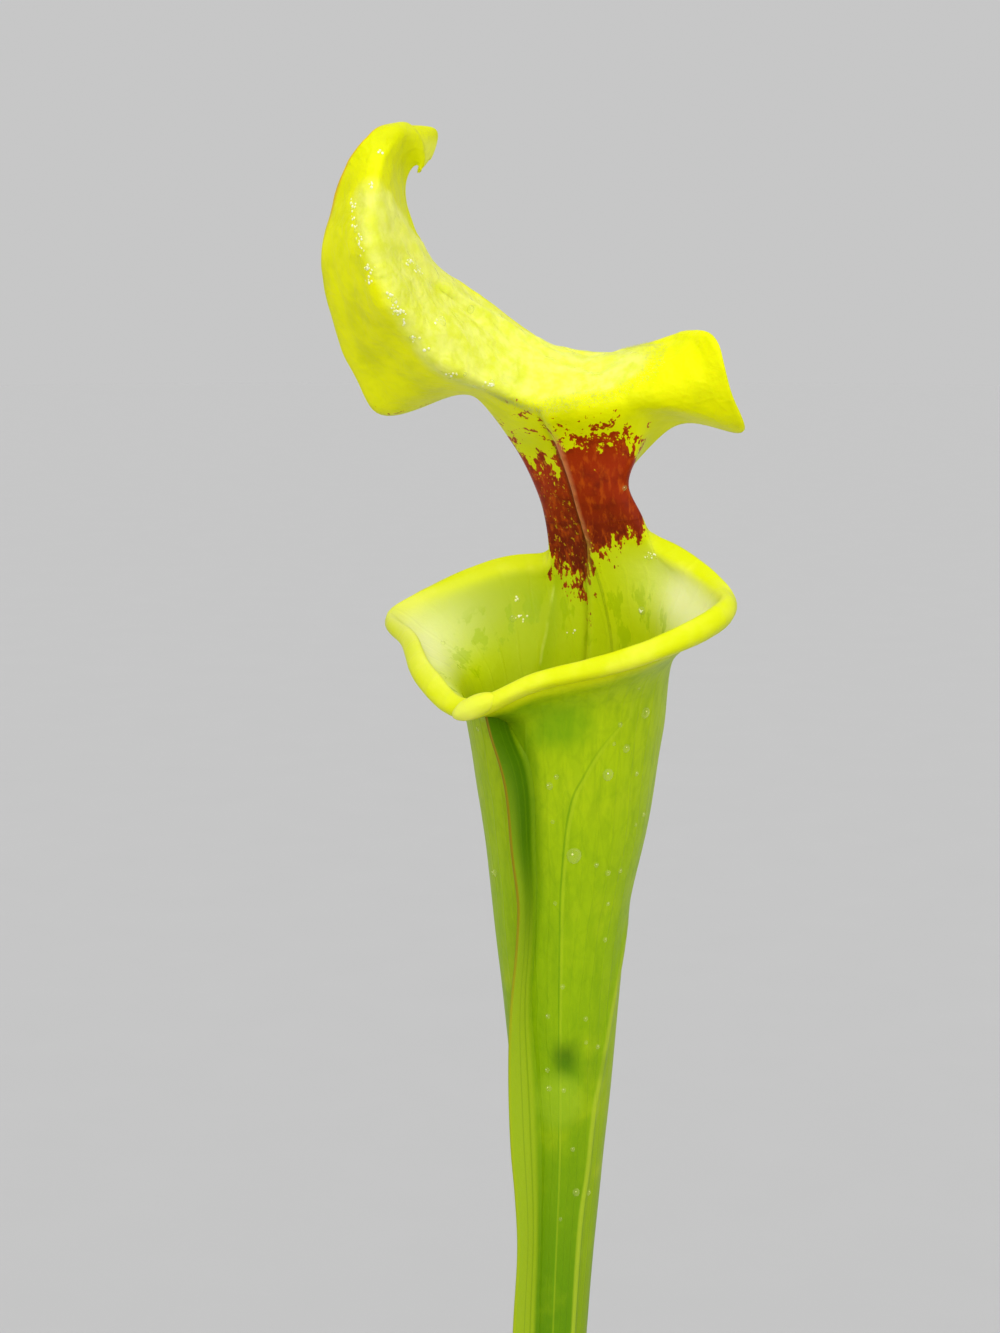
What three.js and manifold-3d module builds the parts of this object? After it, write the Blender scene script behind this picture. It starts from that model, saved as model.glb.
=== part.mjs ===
// Yellow trumpet pitcher plant in a plain round pot.
// Millimetres, +Z up. The origin is under the middle of the pot, on the surface that it stands on.
// The pitcher's mouth opens towards -Y, with its spout turned towards -X.
import * as THREE from 'three';
import Module from 'manifold-3d';
import { mergeVertices } from 'three/addons/utils/BufferGeometryUtils.js';

const wasm = await Module();
wasm.setup();

// Pot
const POT_HEIGHT = 120;
const POT_TOP_RADIUS = 65;
const POT_FOOT_RADIUS = 48;
const POT_WALL = 2.2;
const POT_FLOOR = 3;
const POT_BAND_HEIGHT = 16;
const POT_BAND_STEP = 2;
const POT_EDGE = 0.8;
const POT_SIDES = 48;
const POT_BAND_FOOT = POT_HEIGHT - POT_BAND_HEIGHT;
const DRAIN_COUNT = 6;
const DRAIN_RADIUS = 4.5;
const DRAIN_CIRCLE = 32;
const DRAIN_SIDES = 14;

// Soil
const GAP = 0.3;
const SOIL_LEVEL = 107;
const SOIL_ROUGHNESS = 1.3;
const SOIL_EDGE_DROP = 3;
const SOIL_RINGS = 9;
const SOCKET_RADIUS = 13;
const SOCKET_DEPTH = 30;

// Rhizome and the short leaf bases round it
const CROWN_RISE = 7;
const CROWN_SHOULDER = 5;
const CROWN_SIDES = 48;
const CROWN_TOP_SHARE = 0.6;
const SCALE_COUNT = 6;
const SCALE_LENGTH = 24;
const SCALE_WIDTH = 8.5;
const SCALE_TIP_WIDTH = 0.8;
const SCALE_THICKNESS = 1.6;
const SCALE_TIP_THICKNESS = 0.7;
const SCALE_CUP = 0.06;
const SCALE_SINK = 6;
const SCALE_OUT = 7.5;
const SCALE_LEAN = 3.2;
const SCALE_STEPS = 5;

// Pitcher: the front, with the spout and the wing, is turned 35 degrees towards -X from -Y
const FRONT_TURN = THREE.MathUtils.degToRad(35);
const WALL = 0.9;
const TIP_WALL = 0.7;
const FOOT_RADIUS = 3.6;
const FOOT_LEVEL = 97;
const FOOT_DEPTH = 0.6 * FOOT_RADIUS;
const WING_THICKNESS = 1;
const WING_SINK = 0.7;
const SMOOTHING_STEPS = 12;

// Places round the tube, in degrees from the front towards the right: the mouth's rim runs through
// the first fifteen, and the back of the tube between them carries the column.
const RIM_PLACES = [-148, -130, -112.5, -90, -67.5, -45, -22.5, 0, 22.5, 45, 67.5, 90, 112.5, 130, 148];
const BACK_PLACES = [164, 180, -164];

// Rings of the tube: height, centre x, centre y, radius
const TUBE = [
  [FOOT_LEVEL, 0, 0, FOOT_RADIUS], [112, 0, 0, 3.8], [150, -1.5, 0.5, 4.2], [200, -3, 1, 4.9],
  [250, -2.8, 0.6, 5.8], [295.5, -1.6, 0, 6.9], [326.5, -0.4, 0, 8.1], [348.5, 0, 0, 9.8],
  [371, -0.3, 0, 11.9], [391.5, -0.2, 0, 14.2], [407, 0.6, 0, 16.8], [423, 0.6, 0, 19.2],
  [432, 0.5, 0, 20.6],
];

// Share of the way out and up from the last tube ring to the rim, for the rings of the flare
const FLARE = [[0.1, 0.38], [0.38, 0.66], [0.7, 0.86]];

// Outermost line of the rim at each rim place, with the radius of its roll and how far it curls: a rim
// that curls 1 is rolled back under itself, and one that curls 0 only flares outwards
const RIM = [
  [-2.5, 22.5, 463.3, 1.4, 0], [-8, 26.5, 461.8, 1.4, 0], [-20, 29.5, 458.3, 1.4, 0.1],
  [-37, 26.6, 450.4, 1.3, 0.5], [-34.5, 9, 447, 1.8, 1], [-31.5, -6, 443.5, 1.8, 1],
  [-27, -18, 440, 1.8, 1], [-20, -28, 438.5, 2.2, 1], [-8.5, -31, 443.5, 2.1, 1],
  [4.5, -32, 447, 2.1, 1], [19.5, -32, 451.5, 2.1, 1], [32.5, -21.5, 457, 1.9, 0.85],
  [32.3, -8, 460.2, 1.6, 0.3], [27.2, 2.1, 463.9, 1.5, 0], [20.8, 7.6, 467.4, 1.4, 0],
];

// Section of the roll, in radii from its outermost line, first where the rim only flares and then where
// it is curled: height of its top, and the length and the slope in degrees of its free edge
const ROLL_TOP = [-0.9, 1.05];
const ROLL_EDGE = [0.95, 1.4];
const ROLL_SLOPE = [32, -141];

// Foot of the column at the three back places, right to left
const COLUMN_FOOT = [[12.5, 10.5, 468], [6.5, 14.5, 466.5], [1, 19, 465]];

// Column: eleven points across each row, left to right, with both edges turned back
const COLUMN = [
  [[0.5, 24, 470], [-2, 23, 470.5], [-3, 20, 471], [-1.5, 18, 471], [1.5, 16, 471.5], [4.5, 13.5, 472],
    [9, 10.5, 472.5], [14, 7.5, 473], [16.4, 7.8, 473], [16, 10, 472.5], [14, 12, 472]],
  [[-1.5, 22.5, 477], [-4, 21.5, 477.5], [-5, 18.5, 478], [-3.5, 16, 478], [-1, 13.5, 478.5], [2.5, 11, 479],
    [7, 8.5, 479], [11.2, 6.7, 479.5], [13.4, 7.4, 479.5], [13, 10, 478.5], [11.5, 12.5, 478]],
  [[-4.5, 21, 483], [-6.5, 20, 483.5], [-8, 17, 484.5], [-6, 14.5, 484.5], [-3, 12, 484.5], [0.5, 9, 485],
    [6, 6.5, 485.5], [12, 5, 486.5], [14.5, 4.5, 486], [15, 9, 485], [14.5, 13, 483.5]],
  [[-9, 18, 488.5], [-10.5, 17, 489.5], [-11, 14.5, 489.5], [-9, 12, 489.5], [-5.5, 9, 489.5], [-1.5, 6, 490],
    [5, 3.5, 491], [12, 2, 491.5], [16, 2.5, 491.5], [18, 6, 490.5], [19.5, 9, 489.5]],
];

// Lid: seven points across each row, at these shares of the eleven, from its left edge over the ridge
// and the midrib to its right edge, and row by row from the column to the hooked tip
const LID_PLACES = [0, 1.5, 3, 5, 7, 8.5, 10];
const LID = [
  [[-17, 13, 498], [-15.5, 9, 496], [-11.5, 5, 495], [-3.5, 2, 494],
    [9.5, -2, 495.5], [19.5, -1, 496], [27, 5, 493.5]],
  [[-24.5, 12, 498.5], [-20, 6, 499.5], [-15, -1, 500], [-5, -1, 497],
    [8.5, -3, 499], [23, -5, 498], [36.5, -2, 492]],
  [[-37, 10, 494.5], [-29.5, 0, 500.5], [-23, -10, 504.5], [-8.5, 1, 501],
    [10, 0, 502.5], [23, -6, 504], [33, -9, 501]],
  [[-42, 6, 500.5], [-35, -4, 506], [-28.5, -13, 510], [-13, 0, 506],
    [5, 6, 504.5], [19, 2, 508], [29.5, -8, 511.5]],
  [[-45, 3, 507], [-39, -7, 511], [-32.5, -16, 515], [-16.5, 0, 510],
    [-2, 9.5, 507], [10, 12, 506.5], [22, 5, 511]],
  [[-47, 0, 513.5], [-41.5, -9, 516.5], [-35.5, -18, 519], [-19.5, 0, 513.5],
    [-7.5, 9, 510], [3.5, 14.5, 507], [14, 15.5, 507.5]],
  [[-48.5, -2, 520.5], [-43, -11, 522.5], [-37, -19, 524.5], [-23, 0, 517],
    [-12.5, 7.5, 513.5], [-4, 14, 509.5], [4.5, 20, 506.5]],
  [[-49, -4, 527], [-44, -12, 528.5], [-38.5, -19, 530], [-26, -2, 520.5],
    [-17.5, 5, 517], [-11, 11.5, 513], [-5, 17.5, 510]],
  [[-47.5, -6, 534], [-43, -13, 535.5], [-38.5, -18, 536], [-29.5, -6.5, 524.5],
    [-23, 1, 520.5], [-18, 7.5, 518], [-14, 13, 516.5]],
  [[-45.5, -8, 540.5], [-41.5, -13, 540.5], [-38, -16, 541], [-33, -10.5, 531],
    [-28, -3.5, 526], [-24.5, 2.5, 523], [-21, 8.5, 521.5]],
  [[-43, -10, 546], [-40, -13, 545.5], [-37, -14, 545], [-34.5, -11.5, 537.5],
    [-31.5, -6, 532], [-29, -0.5, 528.5], [-26.5, 4.5, 525.5]],
  [[-40, -11, 550], [-37.5, -12, 549.5], [-35.5, -12, 548], [-34.5, -10, 543.5],
    [-33.5, -5.5, 538.5], [-32, -2, 534.5], [-30, 1, 531]],
  [[-36, -8, 553], [-34.5, -10, 552.5], [-33, -10, 551], [-33, -8, 548],
    [-33, -5.5, 545], [-33, -3, 542], [-32.5, -1, 539]],
  [[-30, 0, 553.5], [-31.5, -4.5, 553], [-31.5, -7.5, 551.5], [-31.5, -7, 549.5],
    [-31.5, -5.5, 548], [-31.5, -4, 546.5], [-31.5, -2, 544.5]],
  [[-26.5, 4, 551], [-28, 0.5, 551], [-29, -2.5, 550.5], [-29.5, -4, 549],
    [-29.5, -4, 547.8], [-29.7, -3.6, 546.8], [-30.2, -2.6, 546]],
  [[-27.5, 2.5, 547.5], [-28, 1.5, 547], [-28.3, 0.5, 546.5], [-28.6, -0.5, 546],
    [-28.9, -1.4, 545.6], [-29.3, -2.3, 545.1], [-30, -3.2, 544.8]],
];

// Wing: height, place of its root round the tube, place that it points to, width
const WING = [
  [437, 0, -1, 8], [424, 10, 0, 8.5], [407, 10, 4, 8], [395, 10, 11, 7.5], [386, 8, 9, 7.5], [373, 2, 6, 8],
  [352, 2, -3, 9], [341, 2, -3, 9], [330.5, 2, 0, 8.5], [319.5, 2, 2, 8], [300, 2, -2, 8], [270, 0, 0, 7.5],
  [220, 0, 0, 6.5], [170, 0, 0, 5], [140, 0, 0, 3.5], [121, 0, 0, 1.2],
];

const vec = (p) => new THREE.Vector3(p[0], p[1], p[2]);

// Horizontal direction at a place round the tube, in degrees from the pitcher's front
function direction(place) {
  const turn = THREE.MathUtils.degToRad(place) - FRONT_TURN;
  return new THREE.Vector3(Math.sin(turn), -Math.cos(turn), 0);
}

// Point at a share of the way along unevenly spaced points, on a smooth curve through all of them
function along(places, points, at) {
  const last = places.length - 1;
  let k = 0;
  while (k < last - 1 && at > places[k + 1]) k += 1;
  const slope = (i) => {
    const before = Math.max(i - 1, 0);
    const after = Math.min(i + 1, last);
    if (before === i || after === i) {
      return points[after].clone().sub(points[before]).divideScalar(places[after] - places[before]);
    }
    const behind = places[i] - places[before];
    const ahead = places[after] - places[i];
    const back = points[i].clone().sub(points[before]).divideScalar(behind);
    const front = points[after].clone().sub(points[i]).divideScalar(ahead);
    return back.multiplyScalar(ahead).add(front.multiplyScalar(behind)).divideScalar(ahead + behind);
  };
  const span = places[k + 1] - places[k];
  const t = (at - places[k]) / span;
  const t2 = t * t;
  const t3 = t2 * t;
  return points[k].clone().multiplyScalar(2 * t3 - 3 * t2 + 1)
    .addScaledVector(slope(k), (t3 - 2 * t2 + t) * span)
    .addScaledVector(points[k + 1], -2 * t3 + 3 * t2)
    .addScaledVector(slope(k + 1), (t3 - t2) * span);
}

// The pitcher's sheet as four-sided faces through the points above, and its wall at each point
function pitcherSheet() {
  const sheet = { points: [], faces: [], walls: [] };
  const add = (point, wall = WALL) => {
    sheet.points.push(point);
    sheet.walls.push(wall);
    return sheet.points.length - 1;
  };
  const places = [...RIM_PLACES, ...BACK_PLACES];
  const count = places.length;
  const rings = TUBE.map(([z, x, y, radius]) => places.map((place) => (
    direction(place).multiplyScalar(radius).add(new THREE.Vector3(x, y, z)))));
  const lip = [...RIM.map(vec), ...COLUMN_FOOT.map(vec)];
  const throat = rings[rings.length - 1];
  for (const [out, up] of FLARE) {
    rings.push(throat.map((point, i) => new THREE.Vector3(
      THREE.MathUtils.lerp(point.x, lip[i].x, out),
      THREE.MathUtils.lerp(point.y, lip[i].y, out),
      THREE.MathUtils.lerp(point.z, lip[i].z, up),
    )));
  }
  const tube = rings.map((ring) => ring.map((point) => add(point)));

  // rounded foot of the tube
  const foot = add(new THREE.Vector3(0, 0, FOOT_LEVEL - FOOT_DEPTH));
  for (let i = 0; i < count; i += 2) {
    sheet.faces.push([foot, tube[0][(i + 2) % count], tube[0][i + 1], tube[0][i]]);
  }
  for (let row = 0; row + 1 < tube.length; row += 1) {
    for (let i = 0; i < count; i += 1) {
      const j = (i + 1) % count;
      sheet.faces.push([tube[row][i], tube[row][j], tube[row + 1][j], tube[row + 1][i]]);
    }
  }

  // rolled rim: its top, its outermost line and the edge tucked under
  const mouth = tube[tube.length - 1];
  const roll = [[], [], []];
  RIM.forEach(([x, y, z, radius, curl], i) => {
    const out = direction(RIM_PLACES[i]);
    const share = ([flared, curled]) => THREE.MathUtils.lerp(flared, curled, curl);
    const slope = THREE.MathUtils.degToRad(share(ROLL_SLOPE));
    const place = (outwards, up) => (
      add(new THREE.Vector3(x, y, z + up * radius).addScaledVector(out, outwards * radius)));
    roll[0].push(place(-1, share(ROLL_TOP)));
    roll[1].push(place(0, 0));
    roll[2].push(place(share(ROLL_EDGE) * Math.cos(slope), share(ROLL_EDGE) * Math.sin(slope)));
  });
  const bands = [mouth, ...roll];
  for (let i = 0; i + 1 < RIM.length; i += 1) {
    for (let band = 0; band < 3; band += 1) {
      sheet.faces.push([bands[band][i], bands[band][i + 1], bands[band + 1][i + 1], bands[band + 1][i]]);
    }
  }

  // column and lid
  const end = RIM.length - 1;
  let row = [roll[2][0], roll[1][0], roll[0][0], mouth[0], mouth[end + 3], mouth[end + 2], mouth[end + 1],
    mouth[end], roll[0][end], roll[1][end], roll[2][end]];
  const upper = COLUMN.map((points) => points.map(vec));
  for (const points of LID) {
    upper.push(row.map((_, i) => along(LID_PLACES, points.map(vec), i)));
  }
  upper.forEach((points, level) => {
    const wall = level > upper.length - 5 ? TIP_WALL : WALL;
    const next = points.map((point) => add(point, wall));
    for (let i = 0; i + 1 < next.length; i += 1) sheet.faces.push([row[i + 1], row[i], next[i], next[i + 1]]);
    row = next;
  });
  return sheet;
}

// Neighbours of every point of a sheet of four-sided faces
function neighbours(sheet) {
  const edges = new Map();
  const near = sheet.points.map(() => ({ beside: [], across: [], rim: [], faces: [] }));
  sheet.faces.forEach((face, index) => {
    face.forEach((a, k) => {
      const b = face[(k + 1) % 4];
      const key = a < b ? `${a},${b}` : `${b},${a}`;
      const edge = edges.get(key) ?? { ends: [Math.min(a, b), Math.max(a, b)], faces: [] };
      edge.faces.push(index);
      edges.set(key, edge);
      near[a].across.push(face[(k + 2) % 4]);
      near[a].faces.push(index);
    });
  });
  for (const { ends: [a, b], faces } of edges.values()) {
    near[a].beside.push(b);
    near[b].beside.push(a);
    if (faces.length === 1) {
      near[a].rim.push(b);
      near[b].rim.push(a);
    }
  }
  return { near, edges };
}

const sum = (points, indices) => indices.reduce((total, i) => total.add(points[i]), new THREE.Vector3());

// Where each point ends up on the smooth surface that repeated rounding of the faces leads to
function smoothed(sheet, near) {
  return sheet.points.map((point, i) => {
    const { beside, across, rim } = near[i];
    if (rim.length > 0) return sum(sheet.points, rim).addScaledVector(point, 4).divideScalar(6);
    const n = beside.length;
    return sum(sheet.points, across).addScaledVector(sum(sheet.points, beside), 4)
      .addScaledVector(point, n * n).divideScalar(n * (n + 5));
  });
}

// Moves the points outwards until the smooth surface passes through where they started
function reach(sheet) {
  const { near } = neighbours(sheet);
  const goal = sheet.points.map((point) => point.clone());
  for (let step = 0; step < SMOOTHING_STEPS; step += 1) {
    const now = smoothed(sheet, near);
    sheet.points.forEach((point, i) => point.add(goal[i]).sub(now[i]));
  }
}

// One round of Catmull-Clark division: each four-sided face becomes four
function divide(sheet) {
  const { near, edges } = neighbours(sheet);
  const { points, faces, walls } = sheet;
  const middles = faces.map((face) => sum(points, face).divideScalar(4));
  const finer = { points: [], faces: [], walls: [] };
  const add = (point, wall) => {
    finer.points.push(point);
    finer.walls.push(wall);
    return finer.points.length - 1;
  };
  points.forEach((point, i) => {
    const { beside, rim, faces: round } = near[i];
    if (rim.length > 0) {
      add(sum(points, rim).addScaledVector(point, 6).divideScalar(8), walls[i]);
      return;
    }
    const n = beside.length;
    const ring = sum(middles, round).addScaledVector(sum(points, beside), 1).divideScalar(n * n);
    add(ring.addScaledVector(point, (n - 2) / n), walls[i]);
  });
  const centre = middles.map((middle, i) => add(middle.clone(), walls[faces[i][0]]));
  const half = new Map();
  for (const [key, { ends: [a, b], faces: sides }] of edges) {
    const point = points[a].clone().add(points[b]);
    if (sides.length === 2) point.add(middles[sides[0]]).add(middles[sides[1]]).divideScalar(4);
    else point.divideScalar(2);
    half.set(key, add(point, (walls[a] + walls[b]) / 2));
  }
  const midway = (a, b) => half.get(a < b ? `${a},${b}` : `${b},${a}`);
  faces.forEach((face, i) => face.forEach((a, k) => {
    finer.faces.push([a, midway(a, face[(k + 1) % 4]), centre[i], midway(face[(k + 3) % 4], a)]);
  }));
  return finer;
}

function geometry(points, triangles) {
  const result = new THREE.BufferGeometry();
  const values = points.flatMap((p) => [p.x, p.y, p.z]);
  result.setAttribute('position', new THREE.Float32BufferAttribute(values, 3));
  result.setIndex(triangles.flat());
  return result;
}

// Closed body of a sheet: its two faces, half a wall to each side, and the strip round its edge
function thicken(sheet) {
  const { points, faces, walls } = sheet;
  const normals = points.map(() => new THREE.Vector3());
  for (const [a, b, c, d] of faces) {
    const normal = points[c].clone().sub(points[a]).cross(points[d].clone().sub(points[b]));
    for (const i of [a, b, c, d]) normals[i].add(normal);
  }
  normals.forEach((normal) => normal.normalize());
  const outer = points.map((point, i) => point.clone().addScaledVector(normals[i], walls[i] / 2));
  const inner = points.map((point, i) => point.clone().addScaledVector(normals[i], -walls[i] / 2));
  const n = points.length;
  const triangles = [];
  for (const [a, b, c, d] of faces) {
    triangles.push([a, b, c], [a, c, d], [n + c, n + b, n + a], [n + d, n + c, n + a]);
  }
  const directed = new Set(faces.flatMap((face) => face.map((a, k) => `${a},${face[(k + 1) % 4]}`)));
  for (const edge of directed) {
    const [a, b] = edge.split(',').map(Number);
    if (!directed.has(`${b},${a}`)) triangles.push([b, a, n + a], [b, n + a, n + b]);
  }
  return geometry([...outer, ...inner], triangles);
}

// Solid for joining and cutting, from a closed geometry
function solid(source) {
  const bare = source.clone();
  bare.deleteAttribute('normal');
  bare.deleteAttribute('uv');
  const merged = mergeVertices(bare, 1e-4);
  return new wasm.Manifold(new wasm.Mesh({
    numProp: 3,
    vertProperties: merged.attributes.position.array,
    triVerts: new Uint32Array(merged.index.array),
  }));
}

function fromSolid(body) {
  const mesh = body.getMesh();
  const result = new THREE.BufferGeometry();
  result.setAttribute('position', new THREE.BufferAttribute(mesh.vertProperties, 3));
  result.setIndex(new THREE.BufferAttribute(mesh.triVerts, 1));
  return result;
}

// Closed body through rows of the same number of points, each row a loop round the body
function loft(rows) {
  const size = rows[0].length;
  const points = rows.flat();
  const triangles = [];
  for (let row = 0; row + 1 < rows.length; row += 1) {
    for (let i = 0; i < size; i += 1) {
      const a = row * size + i;
      const b = row * size + (i + 1) % size;
      triangles.push([a, b, b + size], [a, b + size, a + size]);
    }
  }
  const top = points.length - size;
  for (let i = 1; i + 1 < size; i += 1) triangles.push([0, i + 1, i], [top, top + i, top + i + 1]);
  return geometry(points, triangles);
}

// Tube radius and centre at a height
function tubeAt(z) {
  const heights = TUBE.map((ring) => ring[0]);
  const rings = TUBE.map(([, x, y, radius]) => new THREE.Vector3(x, y, radius));
  return along(heights, rings, Math.min(z, heights[heights.length - 1]));
}

// Wing: the thin keel down the pitcher's front, with its root sunk in the wall of the tube
function wing() {
  const rows = [...WING].reverse().map(([z, rootPlace, edgePlace, width]) => {
    const ring = tubeAt(z);
    const centre = new THREE.Vector3(ring.x, ring.y, z);
    const root = centre.addScaledVector(direction(rootPlace), ring.z - WING_SINK);
    const edge = root.clone().addScaledVector(direction(edgePlace), width + WING_SINK);
    const side = direction(edgePlace + 90).multiplyScalar(WING_THICKNESS / 2);
    return [root.clone().sub(side), edge.clone().sub(side), edge.clone().add(side), root.clone().add(side)];
  });
  return loft(rows);
}

function pitcher() {
  const sheet = pitcherSheet();
  reach(sheet);
  const finer = divide(sheet);
  finer.points = smoothed(finer, neighbours(finer).near);
  return fromSolid(solid(thicken(finer)).add(solid(wing())));
}

// Closed turned body about Z, from its outline of [radius, height] pairs from axis to axis
function lathe(profile, sides) {
  const turned = new THREE.LatheGeometry(profile.map(([r, z]) => new THREE.Vector2(r, z)), sides);
  return turned.rotateX(Math.PI / 2);
}

// Inner radius of the pot's tapered wall at a height
function potInside(z) {
  const slope = (POT_TOP_RADIUS - POT_BAND_STEP - POT_FOOT_RADIUS) / POT_BAND_FOOT;
  return POT_FOOT_RADIUS - POT_WALL + slope * z;
}

// Pot: a tapered wall with a stepped band at the rim, and drain holes through the floor
function pot() {
  const mouth = potInside(POT_BAND_FOOT);
  const profile = [
    [0, 0], [POT_FOOT_RADIUS - POT_EDGE, 0], [POT_FOOT_RADIUS, POT_EDGE],
    [POT_TOP_RADIUS - POT_BAND_STEP, POT_BAND_FOOT], [POT_TOP_RADIUS, POT_BAND_FOOT + POT_EDGE],
    [POT_TOP_RADIUS, POT_HEIGHT - POT_EDGE], [POT_TOP_RADIUS - POT_EDGE, POT_HEIGHT],
    [mouth + POT_EDGE, POT_HEIGHT], [mouth, POT_HEIGHT - POT_EDGE], [mouth, POT_BAND_FOOT],
    [potInside(POT_FLOOR), POT_FLOOR], [0, POT_FLOOR],
  ];
  let body = solid(lathe(profile, POT_SIDES));
  for (let i = 0; i < DRAIN_COUNT; i += 1) {
    const angle = (i + 0.5) * 2 * Math.PI / DRAIN_COUNT;
    const hole = new THREE.CylinderGeometry(DRAIN_RADIUS, DRAIN_RADIUS, 3 * POT_FLOOR, DRAIN_SIDES);
    hole.rotateX(Math.PI / 2);
    hole.translate(DRAIN_CIRCLE * Math.cos(angle), DRAIN_CIRCLE * Math.sin(angle), POT_FLOOR / 2);
    body = body.subtract(solid(hole));
  }
  return fromSolid(body);
}

// Uneven height of the soil's top, from a few waves that cross each other
function soilBumps(x, y) {
  return SOIL_ROUGHNESS * (0.5 * Math.sin(0.31 * x + 1.3) * Math.cos(0.27 * y - 0.4)
    + 0.3 * Math.sin(0.71 * x - 0.53 * y) + 0.2 * Math.cos(1.13 * x + 0.97 * y + 2));
}

// Soil: fills the pot, with a plain hole for the rhizome
function soil() {
  const bottom = POT_FLOOR + GAP;
  const edge = potInside(POT_BAND_FOOT) - GAP;
  const profile = [
    [0, bottom], [potInside(bottom) - GAP, bottom], [edge, POT_BAND_FOOT],
    [edge, SOIL_LEVEL - SOIL_EDGE_DROP / 2],
  ];
  for (let ring = SOIL_RINGS; ring >= 0; ring -= 1) {
    const share = ring / SOIL_RINGS;
    profile.push([THREE.MathUtils.lerp(SOCKET_RADIUS, edge - SOIL_EDGE_DROP / 2, share), SOIL_LEVEL]);
  }
  profile.push([SOCKET_RADIUS, SOIL_LEVEL - SOCKET_DEPTH], [0, SOIL_LEVEL - SOCKET_DEPTH]);
  const body = lathe(profile, POT_SIDES);
  const place = body.attributes.position;
  for (let i = 0; i < place.count; i += 1) {
    const height = place.getZ(i);
    if (Math.abs(height - SOIL_LEVEL) < GAP) place.setZ(i, height + soilBumps(place.getX(i), place.getY(i)));
  }
  return fromSolid(solid(body));
}

// One short pointed leaf base, cupped round the crown and leaning out from it
function scaleLeaf(turn, size) {
  const rows = [];
  for (let k = 0; k <= SCALE_STEPS; k += 1) {
    const t = k / SCALE_STEPS;
    const width = THREE.MathUtils.lerp(SCALE_TIP_WIDTH, SCALE_WIDTH * size, 1 - t ** 1.6) / 2;
    const depth = THREE.MathUtils.lerp(SCALE_THICKNESS, SCALE_TIP_THICKNESS, t) / 2;
    const cup = SCALE_CUP * width * width;
    const out = SCALE_OUT + SCALE_LEAN * size * t * t;
    const z = SOIL_LEVEL - SCALE_SINK + SCALE_LENGTH * size * t;
    const outline = [[-width, cup - depth], [0, -depth], [width, cup - depth],
      [width, cup + depth], [0, depth], [-width, cup + depth]];
    rows.push(outline.map(([across, inwards]) => new THREE.Vector3(across, inwards - out, z)));
  }
  return loft(rows).rotateZ(turn);
}

// Rhizome: the short stout stem at soil level, with a socket that the pitcher's foot stands in
function rhizome() {
  const low = SOIL_LEVEL - SOCKET_DEPTH + GAP;
  const high = SOIL_LEVEL + CROWN_RISE;
  const wide = SOCKET_RADIUS - GAP;
  const profile = [
    [0, low], [wide - CROWN_SHOULDER, low], [wide, low + CROWN_SHOULDER], [wide, SOIL_LEVEL - CROWN_SHOULDER],
    [wide - CROWN_SHOULDER / 4, SOIL_LEVEL], [wide * CROWN_TOP_SHARE, high], [0, high],
  ];
  let body = solid(lathe(profile, CROWN_SIDES));
  for (let i = 0; i < SCALE_COUNT; i += 1) {
    const size = 0.75 + 0.25 * Math.cos(2.4 * i);
    body = body.add(solid(scaleLeaf((i + 0.2) * 2 * Math.PI / SCALE_COUNT, size)));
  }
  const floor = FOOT_LEVEL - FOOT_DEPTH - WALL / 2 - GAP;
  const wall = tubeAt(high).z + WALL / 2 + 1.5 * GAP;
  const bore = lathe([[0, floor], [wall, floor], [wall, high + 1], [0, high + 1]], CROWN_SIDES);
  return fromSolid(body.subtract(solid(bore)));
}

function part(name, shape, color, roughness) {
  const mesh = new THREE.Mesh(shape, new THREE.MeshStandardMaterial({ color, roughness, metalness: 0 }));
  mesh.name = name;
  return mesh;
}

const plant = new THREE.Group();
plant.add(part('pot', pot(), 0x3a3d3a, 0.55));
plant.add(part('soil', soil(), 0x4a3425, 0.95));
plant.add(part('rhizome', rhizome(), 0x7a5a35, 0.8));
plant.add(part('pitcher', pitcher(), 0xcfd92a, 0.45));

export default plant;
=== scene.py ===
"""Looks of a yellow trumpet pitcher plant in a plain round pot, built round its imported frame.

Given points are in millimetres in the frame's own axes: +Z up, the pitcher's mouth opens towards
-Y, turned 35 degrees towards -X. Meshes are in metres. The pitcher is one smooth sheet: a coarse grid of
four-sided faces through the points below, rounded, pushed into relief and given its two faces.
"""
import random
from math import atan2, ceil, cos, dist, hypot, pi, radians, sin, sqrt

import bmesh
import bpy
import numpy as np
from mathutils import Matrix, Vector, noise
from mathutils.bvhtree import BVHTree


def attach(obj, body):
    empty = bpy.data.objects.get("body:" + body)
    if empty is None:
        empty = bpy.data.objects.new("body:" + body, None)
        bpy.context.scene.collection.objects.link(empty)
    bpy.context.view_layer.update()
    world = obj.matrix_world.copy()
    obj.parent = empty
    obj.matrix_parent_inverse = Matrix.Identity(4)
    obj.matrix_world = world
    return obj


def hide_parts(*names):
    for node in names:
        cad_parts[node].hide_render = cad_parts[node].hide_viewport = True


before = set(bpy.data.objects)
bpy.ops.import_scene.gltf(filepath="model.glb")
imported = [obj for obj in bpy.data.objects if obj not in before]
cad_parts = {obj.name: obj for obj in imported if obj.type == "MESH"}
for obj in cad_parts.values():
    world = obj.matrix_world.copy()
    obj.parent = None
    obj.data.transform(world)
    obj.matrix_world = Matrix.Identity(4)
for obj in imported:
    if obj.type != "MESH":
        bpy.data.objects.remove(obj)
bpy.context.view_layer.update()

MM = 0.001
FULL_TURN = 2 * pi

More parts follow.
